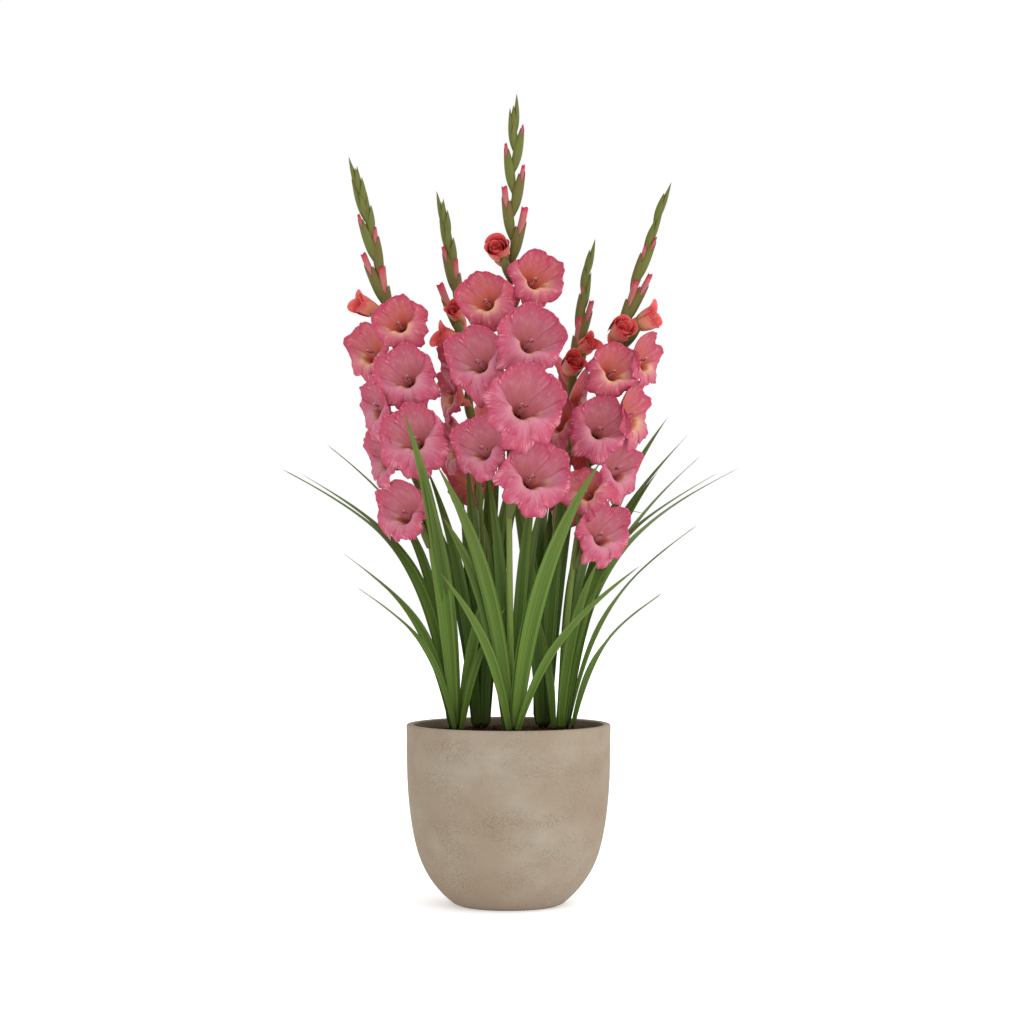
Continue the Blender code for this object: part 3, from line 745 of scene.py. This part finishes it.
def make_pot():
    top = POT_HEIGHT - RIM_ROUND
    outside, inside = pot_radius(top), hollow_radius(top)
    foot = POT_FOOT - 0.004
    rising = (FOOT_ROUND + top * (i / OUTSIDE_RINGS) ** 1.25 for i in range(OUTSIDE_RINGS))
    falling = (top * (1 - i / INSIDE_RINGS) for i in range(1, INSIDE_RINGS))
    profile = [(0, 0), (POT_FOOT * 0.6, 0), (foot, 0)]
    profile += arc((foot, FOOT_ROUND), FOOT_ROUND, -75, -20, 4)
    profile += [(pot_radius(z), z) for z in rising if z < top]
    profile += arc((outside - RIM_ROUND, top), RIM_ROUND, 0, 90, 6)
    profile += arc((inside + RIM_ROUND, top), RIM_ROUND, 90, 180, 6)
    profile += [(hollow_radius(z), z) for z in falling if z > POT_FLOOR]
    profile += [(hollow_radius(POT_FLOOR), POT_FLOOR), (0, POT_FLOOR)]
    bm = turned(profile, POT_SIDES)
    for corner in bm.verts:
        if corner.co.xy.length > POT_FOOT * 0.7:
            out = Vector((corner.co.x, corner.co.y, 0)).normalized()
            ring = Vector((0, 0, corner.co.z * 60))
            wave = noise.noise(corner.co * 14) * 0.0007 + noise.noise(ring) * 0.00025
            corner.co += out * (wave - 0.0006)
    piece("pot", [bm], [stoneware()], ["pot"], tiled=False)


def make_soil():
    edge = hollow_radius(POT_HEIGHT - SOIL_BELOW_RIM) - 0.0008
    under = POT_HEIGHT - SOIL_BELOW_RIM - 0.03
    profile = [(0, under), (edge - 0.006, under), (edge - 0.002, under + 0.012)]
    across = [edge * (1 - i / SOIL_RINGS) for i in range(SOIL_RINGS + 1)]
    profile += [(radius, soil_height(radius)) for radius in across]
    bm = turned(profile, SOIL_SIDES)
    for corner in bm.verts:
        if corner.co.z > POT_HEIGHT - SOIL_BELOW_RIM - 0.001:
            lumps = noise.fractal(corner.co * 42, 1.0, 2.0, 4) * 0.0042
            corner.co.z += lumps - 0.0015
    piece("soil", [bm], [compost()], ["soil"], tiled=False)


def make_clods():
    """Loose crumbs of compost on the surface."""
    draw = random.Random(11)
    parts = []
    limit = hollow_radius(POT_HEIGHT - SOIL_BELOW_RIM) - 0.006
    for _ in range(CLODS):
        out, turn = limit * math.sqrt(draw.random()), draw.uniform(0, math.tau)
        size = 0.0011 + 0.0030 * draw.random() ** 3
        middle = Vector((out * math.cos(turn), out * math.sin(turn), soil_height(out) - 0.0008))
        shape = Matrix.Translation(middle) @ Matrix.Rotation(draw.uniform(0, math.tau), 4, "Z")
        shape @= Matrix.Rotation(draw.uniform(0, 1), 4, "X") @ Matrix.Diagonal((1.3, 1, 0.75, 1))
        bm = bmesh.new()
        bmesh.ops.create_icosphere(bm, subdivisions=1, radius=size, matrix=shape)
        for corner in bm.verts:
            corner.co += noise.noise_vector(corner.co * 700) * size * 0.3
        parts.append(bm)
    piece("soil_crumbs", parts, [compost()], ["soil"], tiled=False)


# ---- stalks


def stalk_point(spike, height):
    """The middle of the stalk at this height."""
    start = soil_height(math.hypot(*spike["foot"]))
    along = (height - start) / (spike["tip"] - start)
    x, y = (
        foot + lean * along + sweep * along * along
        for foot, lean, sweep in zip(spike["foot"], spike["lean"], spike["sweep"])
    )
    return Vector((x, y, height))


def stalk_radius(spike, height):
    along = (height - POT_HEIGHT) / (spike["tip"] - POT_HEIGHT)
    return STALK_RADIUS + (STALK_TIP_RADIUS - STALK_RADIUS) * along


def make_stalk(name, spike):
    """A slim, round stalk that swells and narrows a little along its height."""
    foot = soil_height(math.hypot(*spike["foot"])) - 0.006
    top = spike["tip"] - 0.03
    stations = []
    for i in range(STALK_RINGS + 1):
        height = foot + (top - foot) * i / STALK_RINGS
        radius = stalk_radius(spike, height) * (0 if i in (0, STALK_RINGS) else 1)
        radius *= 1 + 0.03 * noise.noise(Vector((spike["tip"] * 9, 0, height * 30)))
        middle = stalk_point(spike, height)
        stations.append((middle, Vector((radius, 0, 0)), Vector((0, radius, 0))))
    piece(name + "_stalk", [swept(stations, STALK_SIDES, 0)], [stem_material()], [name + "_stem"])


# ---- florets


def facing(degrees):
    turn = math.radians(degrees)
    flat = Vector((math.sin(turn), -math.cos(turn), 0))
    return around(flat, Vector((0, 0, 1)), TILT)


def floret_frame(spike, x, z, degrees, width, reach=REACH, drop=TUBE_DROP):
    """Where a floret leaves the stalk, the middle of its mouth, and its ways ahead, up and across."""
    root = stalk_point(spike, z - drop * width)
    ahead = facing(degrees)
    across = x - root.x
    length = math.sqrt(max((reach * width) ** 2 - across**2, (0.3 * reach * width) ** 2))
    mouth = Vector((x, root.y + math.copysign(length, ahead.y), z))
    up = square(Vector((0, 0, 1)), ahead)
    return root, mouth, ahead, up, ahead.cross(up)


# A tepal is (its turn from the top, its half spread, how far it reaches, whether it is of the inner whorl).
TEPALS = (
    (0, 48, 1.08, True), (60, 45, 1.05, False), (-60, 45, 1.05, False),
    (121, 44, 1.04, True), (-121, 44, 1.04, True), (180, 46, 1.06, False),
)
FLORET_SHARE = 0.95  # the width of the funnel, for a floret whose widest spread is 1
SHOULDER = 0.22
RUFFLE = 0.020
LAYER = 0.0018  # the inner whorl lies this far above the funnel, and the outer one as far below
THROAT_SHIFT = 0.13  # the throat lies this far off the middle of the mouth, towards the lip
LIP_TURN = 27  # how far the lip of a floret that faces the front is turned away from where it looks
LIP_WIDTH = 0.62
LIP_SHORT = 0.09  # how much less far than the others a tepal of the lip reaches
LIP_SHARE = 0.5
# The controls from throat to margin of depth, in mouth depths, and of radius: over the bowl and over the lip.
BOWL = ((0, 0.14, 0.60, 1.08), (THROAT, 0.20, 0.40, 0.5))
FOLD = ((0, 0.72, 1.40, 0.38), (THROAT, 0.11, 0.14, 0.5))
# A floret that faces the front stands forward by this share of what its width is over SLIM.
FORWARD = 0.8
SLIM = 0.092


class Flower:
    """The funnel of a floret: a deep throat, a bowl of an upper side and a lip that folds over sharply."""

    def __init__(self, spike, row, coral, draw):
        self.root, self.mouth, self.ahead, self.up, self.side = floret_frame(spike, *row)
        degrees, self.width = row[2], row[3] * FLORET_SHARE
        self.coral = coral
        self.roll = math.radians(draw.uniform(-9, 9))
        frontal = min(max(1 - (abs(degrees) - 20) / 40, 0), 1)
        self.mouth = self.mouth + self.ahead * FORWARD * max(self.width - SLIM, 0) * frontal
        self.lip_way = math.radians(180 - math.copysign(LIP_TURN * frontal, degrees))
        self.fold = 0.62 + 0.38 * frontal
        self.phases = [draw.uniform(0, math.tau) for _ in range(3)]
        self.cast = Vector([draw.uniform(0, 50) for _ in range(3)])
        self.throat = self.place(0, 0, 0)

    def lip(self, angle):
        """1 over the lip, and 0 round the bowl."""
        return eased(math.cos(angle - self.lip_way) + LIP_WIDTH) * self.fold

    def funnel(self, u, angle, layer):
        """(depth, radius) from throat, 0, to margin, 1, for width 1, and layer above the surface."""
        lip = self.lip(angle)
        depth, radius = ([a + (b - a) * lip for a, b in zip(*forms)] for forms in zip(BOWL, FOLD))
        rise, spread = slope(depth, u) * MOUTH_DEPTH, slope(radius, u)
        steep = layer * u / math.hypot(rise, spread)
        swing = sum(math.sin(k * angle + phase) for k, phase in zip((3, 5, 7), self.phases))
        billow = noise.noise(self.cast + Vector((math.cos(angle) * 1.3, math.sin(angle) * 1.3, u * 2.4)))
        lift = swing * RUFFLE * (0.55 + 0.55 * lip) * u**5 + billow * (0.014 + 0.024 * lip) * u * u
        deep = curve(depth, u) * MOUTH_DEPTH + spread * steep + lift
        return deep, curve(radius, u) - rise * steep + 0.3 * lift

    def place(self, depth, radius, angle):
        out = around(self.up, self.side, angle)
        shift = THROAT_SHIFT * (1 - min(max(depth / MOUTH_DEPTH, 0), 1)) ** 1.3
        aside = around(self.up, self.side, self.lip_way)
        return self.mouth + (self.ahead * (depth - MOUTH_DEPTH) + out * radius + aside * shift) * self.width


def tepal(flower, turn, spread, reach, inner, draw):
    """One tepal laid on the funnel, with a lobed and finely ruffled margin and a sunk midrib."""
    phases = [draw.uniform(0, math.tau) for _ in range(5)]
    middle = math.radians(turn) + flower.roll
    low = flower.lip(middle)
    reach *= draw.uniform(0.94, 1.06) * (1 - LIP_SHORT * low)
    shoulder = SHOULDER * draw.uniform(0.7, 1.2) * (1 - 0.55 * low)
    rounding = draw.uniform(1.8, 2.7)
    lobe = draw.uniform(0.012, 0.030)
    corner, corner_at = draw.uniform(0.05, 0.14) * (1 - 0.6 * low), draw.uniform(-0.35, 0.35)
    layer = LAYER if inner else -LAYER
    curl = draw.uniform(0, 5)

    def place(across, along):
        t = 1 - 2 * across
        peak = max(1 - abs(t - corner_at) / 0.42, 0) ** 1.3
        outline = 1 - shoulder * abs(t) ** rounding + corner * (peak - 0.4)
        outline += lobe * (math.sin(3.6 * t + phases[0]) + 0.6 * math.sin(8.3 * t + phases[1]))
        outline += 0.030 * noise.noise(flower.cast + Vector((7 * t, phases[2], turn)))
        u = along * outline * reach
        angle = middle + math.radians(spread * t * (0.84 + 0.16 * along))
        depth, radius = flower.funnel(u, angle, layer * (1 + curl * along**6))
        crimp = noise.noise(flower.cast + Vector((5.5 * t, phases[3], 2 * along))) * 1.8
        crimp += 0.5 * math.sin(17 * t + phases[4])
        frill = 0.014 * along**6 * crimp * (1 - 0.7 * t * t)
        rib = -0.003 * ridge(t, 0.07) * math.sin(math.pi * min(along * 1.1, 1))
        return flower.place(depth + frill + rib, radius + 0.35 * frill, angle)

    kind = ("coral" if flower.coral else "rose") + ("_lip" if low > LIP_SHARE else "_inside")
    sheet = patch(*TEPAL_GRID, place)
    return walled(sheet, PETAL_THICK, PETAL_TILES[kind], PETAL_TILES["rose_outside"])


def flower_tube(flower):
    """The curved tube from the stalk, which holds the feet of the tepals and is hollow to a dark throat."""
    root, ahead, up, width, throat = flower.root, flower.ahead, flower.up, flower.width, flower.throat
    steps = 12
    collar = THROAT * width + 0.0012
    neck = TUBE_RADIUS * 0.72
    start = root.lerp(throat, 0.3) + up * 0.08 * width
    line = bent((root, start, throat - ahead * 0.16 * width, throat), steps)
    radii = [neck + (collar - neck) * (i / steps) ** 2 for i in range(steps + 1)]
    points = [root] + line + [throat + ahead * 0.05 * width]
    stations = path_stations(points, [0] + radii + [collar * 1.02], flower.side)
    _, first, second = stations[-1]
    # The inner wall runs back down to the dark end of the throat.
    for depth, wide in ((0.05, 0.93), (0.0, 0.84), (-0.08, 0.66), (-0.16, 0.40), (-0.18, 0)):
        stations.append((throat + ahead * depth * width, first * wide, second * wide))
    return swept(stations, TUBE_SIDES, PETAL_TILES["tube"])


def thread(points, radii, side, finish):
    return swept(path_stations(points, radii, side), THREAD_SIDES, finish)


def stamens(flower, draw):
    """Three filaments that arch up to the middle of the mouth, with dark anthers, and a three-lobed style."""
    up, side, ahead, width, throat = flower.up, flower.side, flower.ahead, flower.width, flower.throat
    foot = throat - ahead * 0.05 * width
    low = throat + ahead * 0.10 * width
    parts = []
    for k in (-1, 0, 1):
        aside = side * (k * 0.045 + draw.uniform(-0.012, 0.012))
        inward = ahead * draw.uniform(-0.15, -0.11)
        tip = flower.mouth + (inward + up * draw.uniform(-0.005, 0.022) + aside) * width
        high = tip.lerp(throat, 0.35) + up * 0.02 * width
        line = bent((foot, low, high, tip), 8)
        parts.append(thread(line, [0] + [FILAMENT_RADIUS] * 7 + [0], side, FILAMENT))
        lay = (ahead * 0.5 + up * 0.35 + side * draw.uniform(-0.9, 0.9)).normalized()
        ends = [tip + lay * ANTHER_HALF * s for s in (-1, -0.75, -0.3, 0.3, 0.75, 1)]
        parts.append(thread(ends, [0, 0.0006, 0.0008, 0.0008, 0.0006, 0], ahead.cross(lay), ANTHER))
    tip = flower.mouth + (ahead * -0.08 + up * 0.035 + side * draw.uniform(-0.03, 0.03)) * width
    line = bent((foot, low, tip.lerp(throat, 0.35) + up * 0.03 * width, tip), 8)
    parts.append(thread(line, [0] + [STYLE_RADIUS] * 7 + [0], side, FILAMENT))
    for k in (-1, 0, 1):
        end = tip + ahead * 0.0030 + up * 0.001 + side * 0.0016 * k
        lobe = [tip.lerp(end, s) for s in (0, 0.3, 0.7, 1)]
        parts.append(thread(lobe, [0, 0.0003, 0.0005, 0], up, STYLE_LOBE))
    return parts


ROLLED_LENGTH = 0.052
# A whorl of a rolled floret is (number of tepals, width, how far its tips stand back, how much it opens).
ROLLED_WHORLS = ((3, 1.0, 0.00, 0.10), (3, 0.68, 0.10, 0.06), (2, 0.40, 0.22, 0.0), (1, 0.18, 0.34, 0.0))
ROLLED_SHARE = 0.86
ROLLED_TURN = 222  # the half spreads of a whorl's tepals, taken together
SIDE_OPENING = 0.34  # how much wider the outer whorl opens on a floret that faces sideways


def rolled_frame(spike, row):
    """Where a rolled floret leaves the stalk, its mouth, its ways ahead, up and across, and how it faces."""
    root, mouth, ahead, up, side = floret_frame(spike, *row[:3], ROLLED_LENGTH, 0.62, 0.75)
    frontal = max(math.cos(math.radians(row[2] * 1.2)), 0)
    ahead = (ahead + up * (0.30 + 0.12 * frontal)).normalized()
    return root, mouth, ahead, ahead.cross(side) * -1, side, frontal


def rolled_floret(spike, row, draw):
    """A flower still rolled up: broad, overlapping tepals of uneven height round a small dark heart."""
    width = row[3] * ROLLED_SHARE
    root, mouth, ahead, up, side, frontal = rolled_frame(spike, row)

    def tepal_place(turn, half, phase, scale, short, flare):
        def place(across, along):
            t = 1 - 2 * across
            s = along * (1 - 0.30 * abs(t) ** 1.7 + 0.03 * math.sin(3 * t + phase))
            wide = 0.66 + 0.22 * math.sin(math.pi / 2 * min(s / 0.6, 1))
            wide += flare * (max(s - 0.66, 0) / 0.34) ** 1.5
            radius = wide * scale * (1 + 0.12 * t) * width / 2
            radius += 0.0010 * along**5 * math.sin(3.5 * t + phase)
            back = ahead * ROLLED_LENGTH * ((1 - s) * 0.62 + short)
            return mouth + around(up, side, turn + half * t) * radius - back

        return place

    outside, heart = PETAL_TILES["rolled"], PETAL_TILES["rolled_heart"]
    parts = []
    for whorl, (tepals, scale, set_back, opening) in enumerate(ROLLED_WHORLS):
        flare = opening if whorl else opening + SIDE_OPENING * (1 - frontal)
        for k in range(tepals):
            turn = math.tau * (k / tepals + whorl * 0.17) + draw.uniform(-0.15, 0.15)
            phase = draw.uniform(0, math.tau)
            short = set_back + draw.uniform(-0.09, 0.05)
            place = tepal_place(turn, math.radians(ROLLED_TURN / tepals), phase, scale, short, flare)
            back = heart if whorl else outside
            parts.append(walled(patch(*ROLLED_GRID, place), PETAL_THICK * 0.8, heart, back))
    base = mouth - ahead * ROLLED_LENGTH * 0.60
    line = bent((root, root + up * 0.006, base - ahead * 0.016, base + ahead * 0.010), 8)
    neck, wide = 0.0044, 0.335 * width
    radii = [0, 0.0038] + [neck + (wide - neck) * (i / 4) ** 0.9 for i in range(5)] + [wide * 0.9, 0]
    parts.append(swept(path_stations(line, radii, side), TUBE_SIDES, outside))
    return parts


# ---- bracts and buds


def clasp(base, tip, outward):
    """The ways to the back and the side of what clasps the line from base to tip, its back outwards."""
    way = (tip - base).normalized()
    back = square(outward, way)
    return back, way.cross(back)


def bract(root, tip, outward, wide, wrap):
    """A green boat-shaped bract that clasps what grows from the stalk at root."""
    back, side = clasp(root, tip, outward)

    def place(across, along):
        t = 1 - 2 * across
        taper = math.sin(min(0.30 + along * 0.9, 1) * math.pi / 2)
        taper *= (1 - (max(along - 0.30, 0) / 0.7) ** 1.7) ** 0.8
        angle = math.radians(wrap) * t * (1 - 0.35 * along)
        keel = 1 + 0.10 * ridge(t, 0.12)
        middle = root.lerp(tip, along) - back * wide * 0.55 * along
        return middle + around(back * keel, side, angle) * wide * max(taper, 0.02)

    return walled(patch(*BRACT_GRID, place), BRACT_THICK, GREEN, GREEN)


CLOSED_TIP = 0.02  # how wide the tip of a closed bud is
BUD_MOUTH = 0.86  # the share of a rolled tip's rows that are outside, before it turns in


def bud_size(spike, k):
    """(length, radius) of bud k, from the lowest up: its sheath runs far down along the stalk."""
    share = k / (len(spike["buds"]) - 1)
    return BUD_LENGTH * (1 - 0.25 * share), BUD_RADIUS * (1 - 0.26 * share)


def swell(s, end):
    """How full a bud is at s of its length, where its tip is end wide."""
    full = math.sin(min(0.16 + s / 0.42, 1) * math.pi / 2)
    return full * (1 - (1 - end) * (max(s - 0.40, 0) / 0.60) ** 1.5)


def bud_middle(axis, back, radius, s):
    """The middle of a bud at s of its length, on its bowed axis."""
    return axis[0].lerp(axis[1], s) + back * radius * BUD_BOW * math.sin(math.pi * s)


def sheath(axis, radius, end, outward, reach, narrow, wrap, finish):
    """A green sheath that clasps a bud as far as reach, and narrows to a point from narrow upwards."""
    back, side = clasp(*axis, outward)

    def place(across, along):
        t = 1 - 2 * across
        s = along * reach
        gape = max(along - narrow, 0) / (1 - narrow)
        angle = math.radians(wrap) * t * max(1 - gape, 0.0004) ** 0.6
        keel = 1 + 0.07 * ridge(t, 0.12) * (1 - gape) - 0.09 * gape**2
        middle = bud_middle(axis, back, radius, s)
        return middle + around(back * keel, side, angle) * radius * swell(s, end)

    return walled(patch(*SHEATH_GRID, place), SHEATH_THICK, finish, finish)


def closed_bud(axis, radius, outward):
    """A bud that shows no petal yet: a slim spindle, drawn to a point."""
    back, side = clasp(*axis, outward)
    steps = 22
    stations = []
    for i in range(steps + 1):
        s = i / steps
        full = radius * (0 if i in (0, steps) else swell(s, CLOSED_TIP))
        stations.append((bud_middle(axis, back, radius, s), back * full, side * full))
    return swept(stations, BUD_SIDES, GREEN)


def rolled_tip(axis, radius, start, end, outward):
    """The rolled petals that show in a bud from start upwards, wound in a swirl and open at the tip."""
    back, side = clasp(*axis, outward)

    def place(across, along):
        turn = math.tau * across
        up = min(along / BUD_MOUTH, 1)
        inside = max(along - BUD_MOUTH, 0) / (1 - BUD_MOUTH)
        s = start + (1 - start) * up
        wide = radius * swell(s, end) * (1 + 0.07 * math.cos(2 * turn + 5 * up) * up) * (1 - inside)
        rim = 0.014 * math.cos(3 * turn + 1.2) * up**4
        sunk = (axis[1] - axis[0]) * (rim + 0.05 * math.sin(math.pi * inside / 2))
        return bud_middle(axis, back, radius, s) - sunk + around(back, side, turn) * wide

    return sealed(patch(*BUD_GRID, place), PETAL_TILES["bud_petal"])


def bud(spike, k, last_flushed):
    """(green sheaths, rolled petals) of a bud. The lowest show the most of their petals."""
    length, radius = bud_size(spike, k)
    x, z = spike["buds"][k]
    base = stalk_point(spike, z - length)
    tip = Vector((x, stalk_point(spike, z).y - 0.004, z))
    outward = Vector((math.copysign(1, x - base.x), 0.45, 0))
    axis = (base, tip)
    if k >= min(len(FLUSH), last_flushed):
        valve = sheath(axis, radius * 1.13, CLOSED_TIP, -outward, 0.72, 0.45, 105, GREEN)
        return [closed_bud(axis, radius, outward), valve], []
    shown, end, narrow = FLUSH[k]
    green = WARM if k < WARM_BUDS else GREEN
    outer = sheath(axis, radius * 1.05, end, outward, 1 - shown * 0.62, narrow, 125, green)
    inner = sheath(axis, radius, end, -outward, 1 - shown * 0.92, narrow, 112, green)
    return [outer, inner], [rolled_tip(axis, radius * 0.90, 0.30, end, outward)]


def bract_foot(root, mouth):
    """Where the bracts of a floret start, and the level way out to its mouth."""
    return root - Vector((0, 0, BRACT_DROP)), Vector((mouth.x - root.x, mouth.y - root.y, 0)).normalized()


def floret_bracts(root, throat):
    """The two green bracts that clasp the foot of an open floret."""
    foot, away = bract_foot(root, throat)
    rise = Vector((0, 0, BRACT_RISE))
    return [
        bract(foot, root + away * 0.019 + rise, away, 0.0078, 105),
        bract(foot, root + away * 0.008 + rise * 0.85, -away, 0.0072, 100),
    ]


def rolled_bracts(spike, row):
    """The two bracts that still hold the lower half of a rolled floret."""
    root, mouth = rolled_frame(spike, row)[:2]
    foot, away = bract_foot(root, mouth)
    end = root.lerp(mouth, 0.60)
    return [
        bract(foot, end + away * 0.004, away, 0.0082, 118),
        bract(foot, end - away * 0.004 + Vector((0, 0, 0.004)), -away, 0.0076, 112),
    ]


def make_spike(name, spike, seed, petals_of, stamen_of, bract_of):
    draw = random.Random(seed)
    petals, threads, greens = [], [], []
    for i, row in enumerate(spike["florets"]):
        flower = Flower(spike, row, i in spike["coral"], draw)
        petals += [tepal(flower, *form, draw) for form in TEPALS]
        petals.append(flower_tube(flower))
        threads += stamens(flower, draw)
        greens += floret_bracts(flower.root, flower.throat)
    for row in spike["opening"]:
        petals += rolled_floret(spike, row, draw)
        greens += rolled_bracts(spike, row)
    for k in range(len(spike["buds"])):
        green, rolled = bud(spike, k, spike["flushed"])
        greens += green
        petals += rolled
    piece(name + "_petals", petals, petals_of, [name + "_florets"])
    piece(name + "_stamens", threads, stamen_of, [name + "_florets"])
    piece(name + "_bracts", greens, bract_of, [name + "_buds"])


# ---- leaves


def middle_of(corners):
    return Vector([(min(values) + max(values)) / 2 for values in zip(*corners)])


def leaf_ends(name, x, z):
    """The middles of the solid leaf's two ends, from the frame."""
    corners = [corner.co for corner in frame["nodes"][name].data.vertices]
    ground = min(corner.z for corner in corners)
    base = middle_of([corner for corner in corners if corner.z < ground + 0.0004])
    tip = middle_of([corner for corner in corners if math.hypot(corner.x - x, corner.z - z) < TIP_REACH])
    return base, tip


def leaf_spine(row, base, tip):
    """The points from base to tip of a leaf, and its ways across at each, as it leans out and bends."""
    fan, habit = row[:2]
    turn = FANS[fan]
    out, rise, stiff, tip_turn = HABITS[habit]
    span = tip - base
    elbow = base + Vector((span.x * out, span.y * out, span.z * rise))
    low, high = base.lerp(elbow, stiff), tip.lerp(elbow, stiff)
    if habit == "drooping":
        high.z = max(high.z, tip.z + 0.03)
    controls = (base, low, high, tip)
    spine = []
    for i in range(LEAF_ROWS + 1):
        s = i / LEAF_ROWS
        way = slope(controls, s).normalized() if i else Vector((0, 0, 1))
        swing = math.radians(turn + (math.copysign(tip_turn, turn) - turn) * eased((s - 0.22) / 0.6))
        across = square(Vector((math.cos(swing), math.sin(swing), 0)), way)
        spine.append((s, curve(controls, s), across, way.cross(across)))
    return spine


def leaf_half_width(s, width):
    full = BLADE_FOOT + (1 - BLADE_FOOT) * math.sin(min(s / BLADE_BELLY, 1) * math.pi / 2)
    taper = 1 - max((s - BLADE_BELLY) / (1 - BLADE_BELLY), 0) ** 1.8
    return max(width * BLADE_SHARE * full * taper, 0.0008) / 2


def sword_leaf(row, base, tip, finish, draw):
    """A blade with a raised midrib, folded a little along it and wavy at its edges."""
    spine = leaf_spine(row, base, tip)
    phase = draw.uniform(0, math.tau)

    def place(across, along):
        s, point, wide, face = spine[round(along * LEAF_ROWS)]
        if along in (0, 1):
            return point.copy()
        turn = math.tau * across
        t = math.cos(turn)
        half = leaf_half_width(s, row[4])
        edge = min(1, 6 * (1.01 - s))
        thick = LEAF_EDGE + LEAF_RIB * ridge(t, 0.16) * (1 - 0.7 * s) + 0.00045 * (1 - t * t)
        thick *= edge * math.copysign(abs(math.sin(turn)) ** 0.5, math.sin(turn))
        fold = -LEAF_FOLD * half * abs(t) + 0.0006 * math.sin(9 * s + phase + 1.4 * t) * abs(t)
        return point + wide * half * t + face * (thick + fold)

    return sealed(patch(LEAF_COLUMNS, LEAF_ROWS, place), finish)


def leaf_blades(name, row, greens, draw):
    """The blade, and behind a wide one a second, lower blade beside it, in a darker copy of its green:
    painted shade.
    """
    base, tip = leaf_ends(name, row[2], row[3])
    green = greens.index(row[5])
    blades = [sword_leaf(row, base, tip, green, draw)]
    if row[4] >= PAIRED_FROM and row[1] == "upright":
        aside = PAIR_SHIFT * draw.choice((-1, 1))
        foot = base + Vector((aside * 0.3, 0.0024, 0))
        end = tip.lerp(base, PAIR_DROP * draw.uniform(0.5, 1.5)) + Vector((aside * 1.4, 0.006, 0))
        # The blade behind takes a darker copy of the green: painted shade.
        behind = min(green + (1 if green else 2), len(greens) - 1)
        blades.append(sword_leaf(row, foot, end, behind, draw))
    return blades


def make_leaves():
    draw = random.Random(5)
    greens = list(LEAF_LIT_AND_SHADED_TONES)
    finishes = [leaf_material(kind, tile) for tile, kind in enumerate(greens)]
    for fan in FANS:
        rows = {name: row for name, row in LEAVES.items() if row[0] == fan}
        parts = [blade for name, row in rows.items() for blade in leaf_blades(name, row, greens, draw)]
        piece("leaves_" + fan, parts, finishes, list(rows))


# ---- the studio


def make_floor():
    bm = bmesh.new()
    bmesh.ops.create_grid(bm, x_segments=1, y_segments=1, size=9)
    mesh = bpy.data.meshes.new("floor")
    bm.to_mesh(mesh)
    bm.free()
    white = Finish("floor_white", 0.9, 0.0)
    white.surface["Emission Color"].default_value = (1, 1, 1, 1)
    white.surface["Emission Strength"].default_value = 0.32
    mesh.materials.append(white.done((0.93, 0.93, 0.93, 1)))
    floor = bpy.data.objects.new("floor", mesh)
    bpy.context.scene.collection.objects.link(floor)


def make_light():
    world = bpy.data.worlds.new("studio")
    world.use_nodes = True
    sky = world.node_tree.nodes["Background"]
    sky.inputs["Color"].default_value = (1, 1, 1, 1)
    sky.inputs["Strength"].default_value = 1.0
    bpy.context.scene.world = world
    lamp = bpy.data.lights.new("key", "SUN")
    lamp.energy = 1.4
    lamp.angle = math.radians(95)
    key = bpy.data.objects.new("key", lamp)
    aim = Vector((-1.0, 0.66, -0.62))
    key.rotation_mode = "QUATERNION"
    key.rotation_quaternion = aim.to_track_quat("-Z", "Y")
    bpy.context.scene.collection.objects.link(key)


def make_camera():
    lens = bpy.data.cameras.new("camera")
    lens.lens = 101
    lens.sensor_width = 36
    lens.clip_end = 60
    camera = bpy.data.objects.new("camera", lens)
    camera.location = (0.0051, -4.2, 0.573)
    camera.rotation_euler = (math.radians(90), 0, 0)
    bpy.context.scene.collection.objects.link(camera)
    bpy.context.scene.camera = camera
    bpy.context.scene.view_settings.view_transform = "Standard"


make_pot()
make_soil()
make_clods()
petal_finishes = [petal_material(kind, tile) for tile, kind in enumerate(PETAL_TONES)]
stamen_finishes = [thread_material(kind, tile) for tile, kind in enumerate(THREAD_TONES)]
bract_finishes = [bract_material(kind, tile) for tile, kind in enumerate(BRACT_TONES)]
for seed, (spike_name, spike_rows) in enumerate(SPIKES.items()):
    make_stalk(spike_name, spike_rows)
    make_spike(spike_name, spike_rows, seed, petal_finishes, stamen_finishes, bract_finishes)
make_leaves()
make_floor()
make_light()
make_camera()
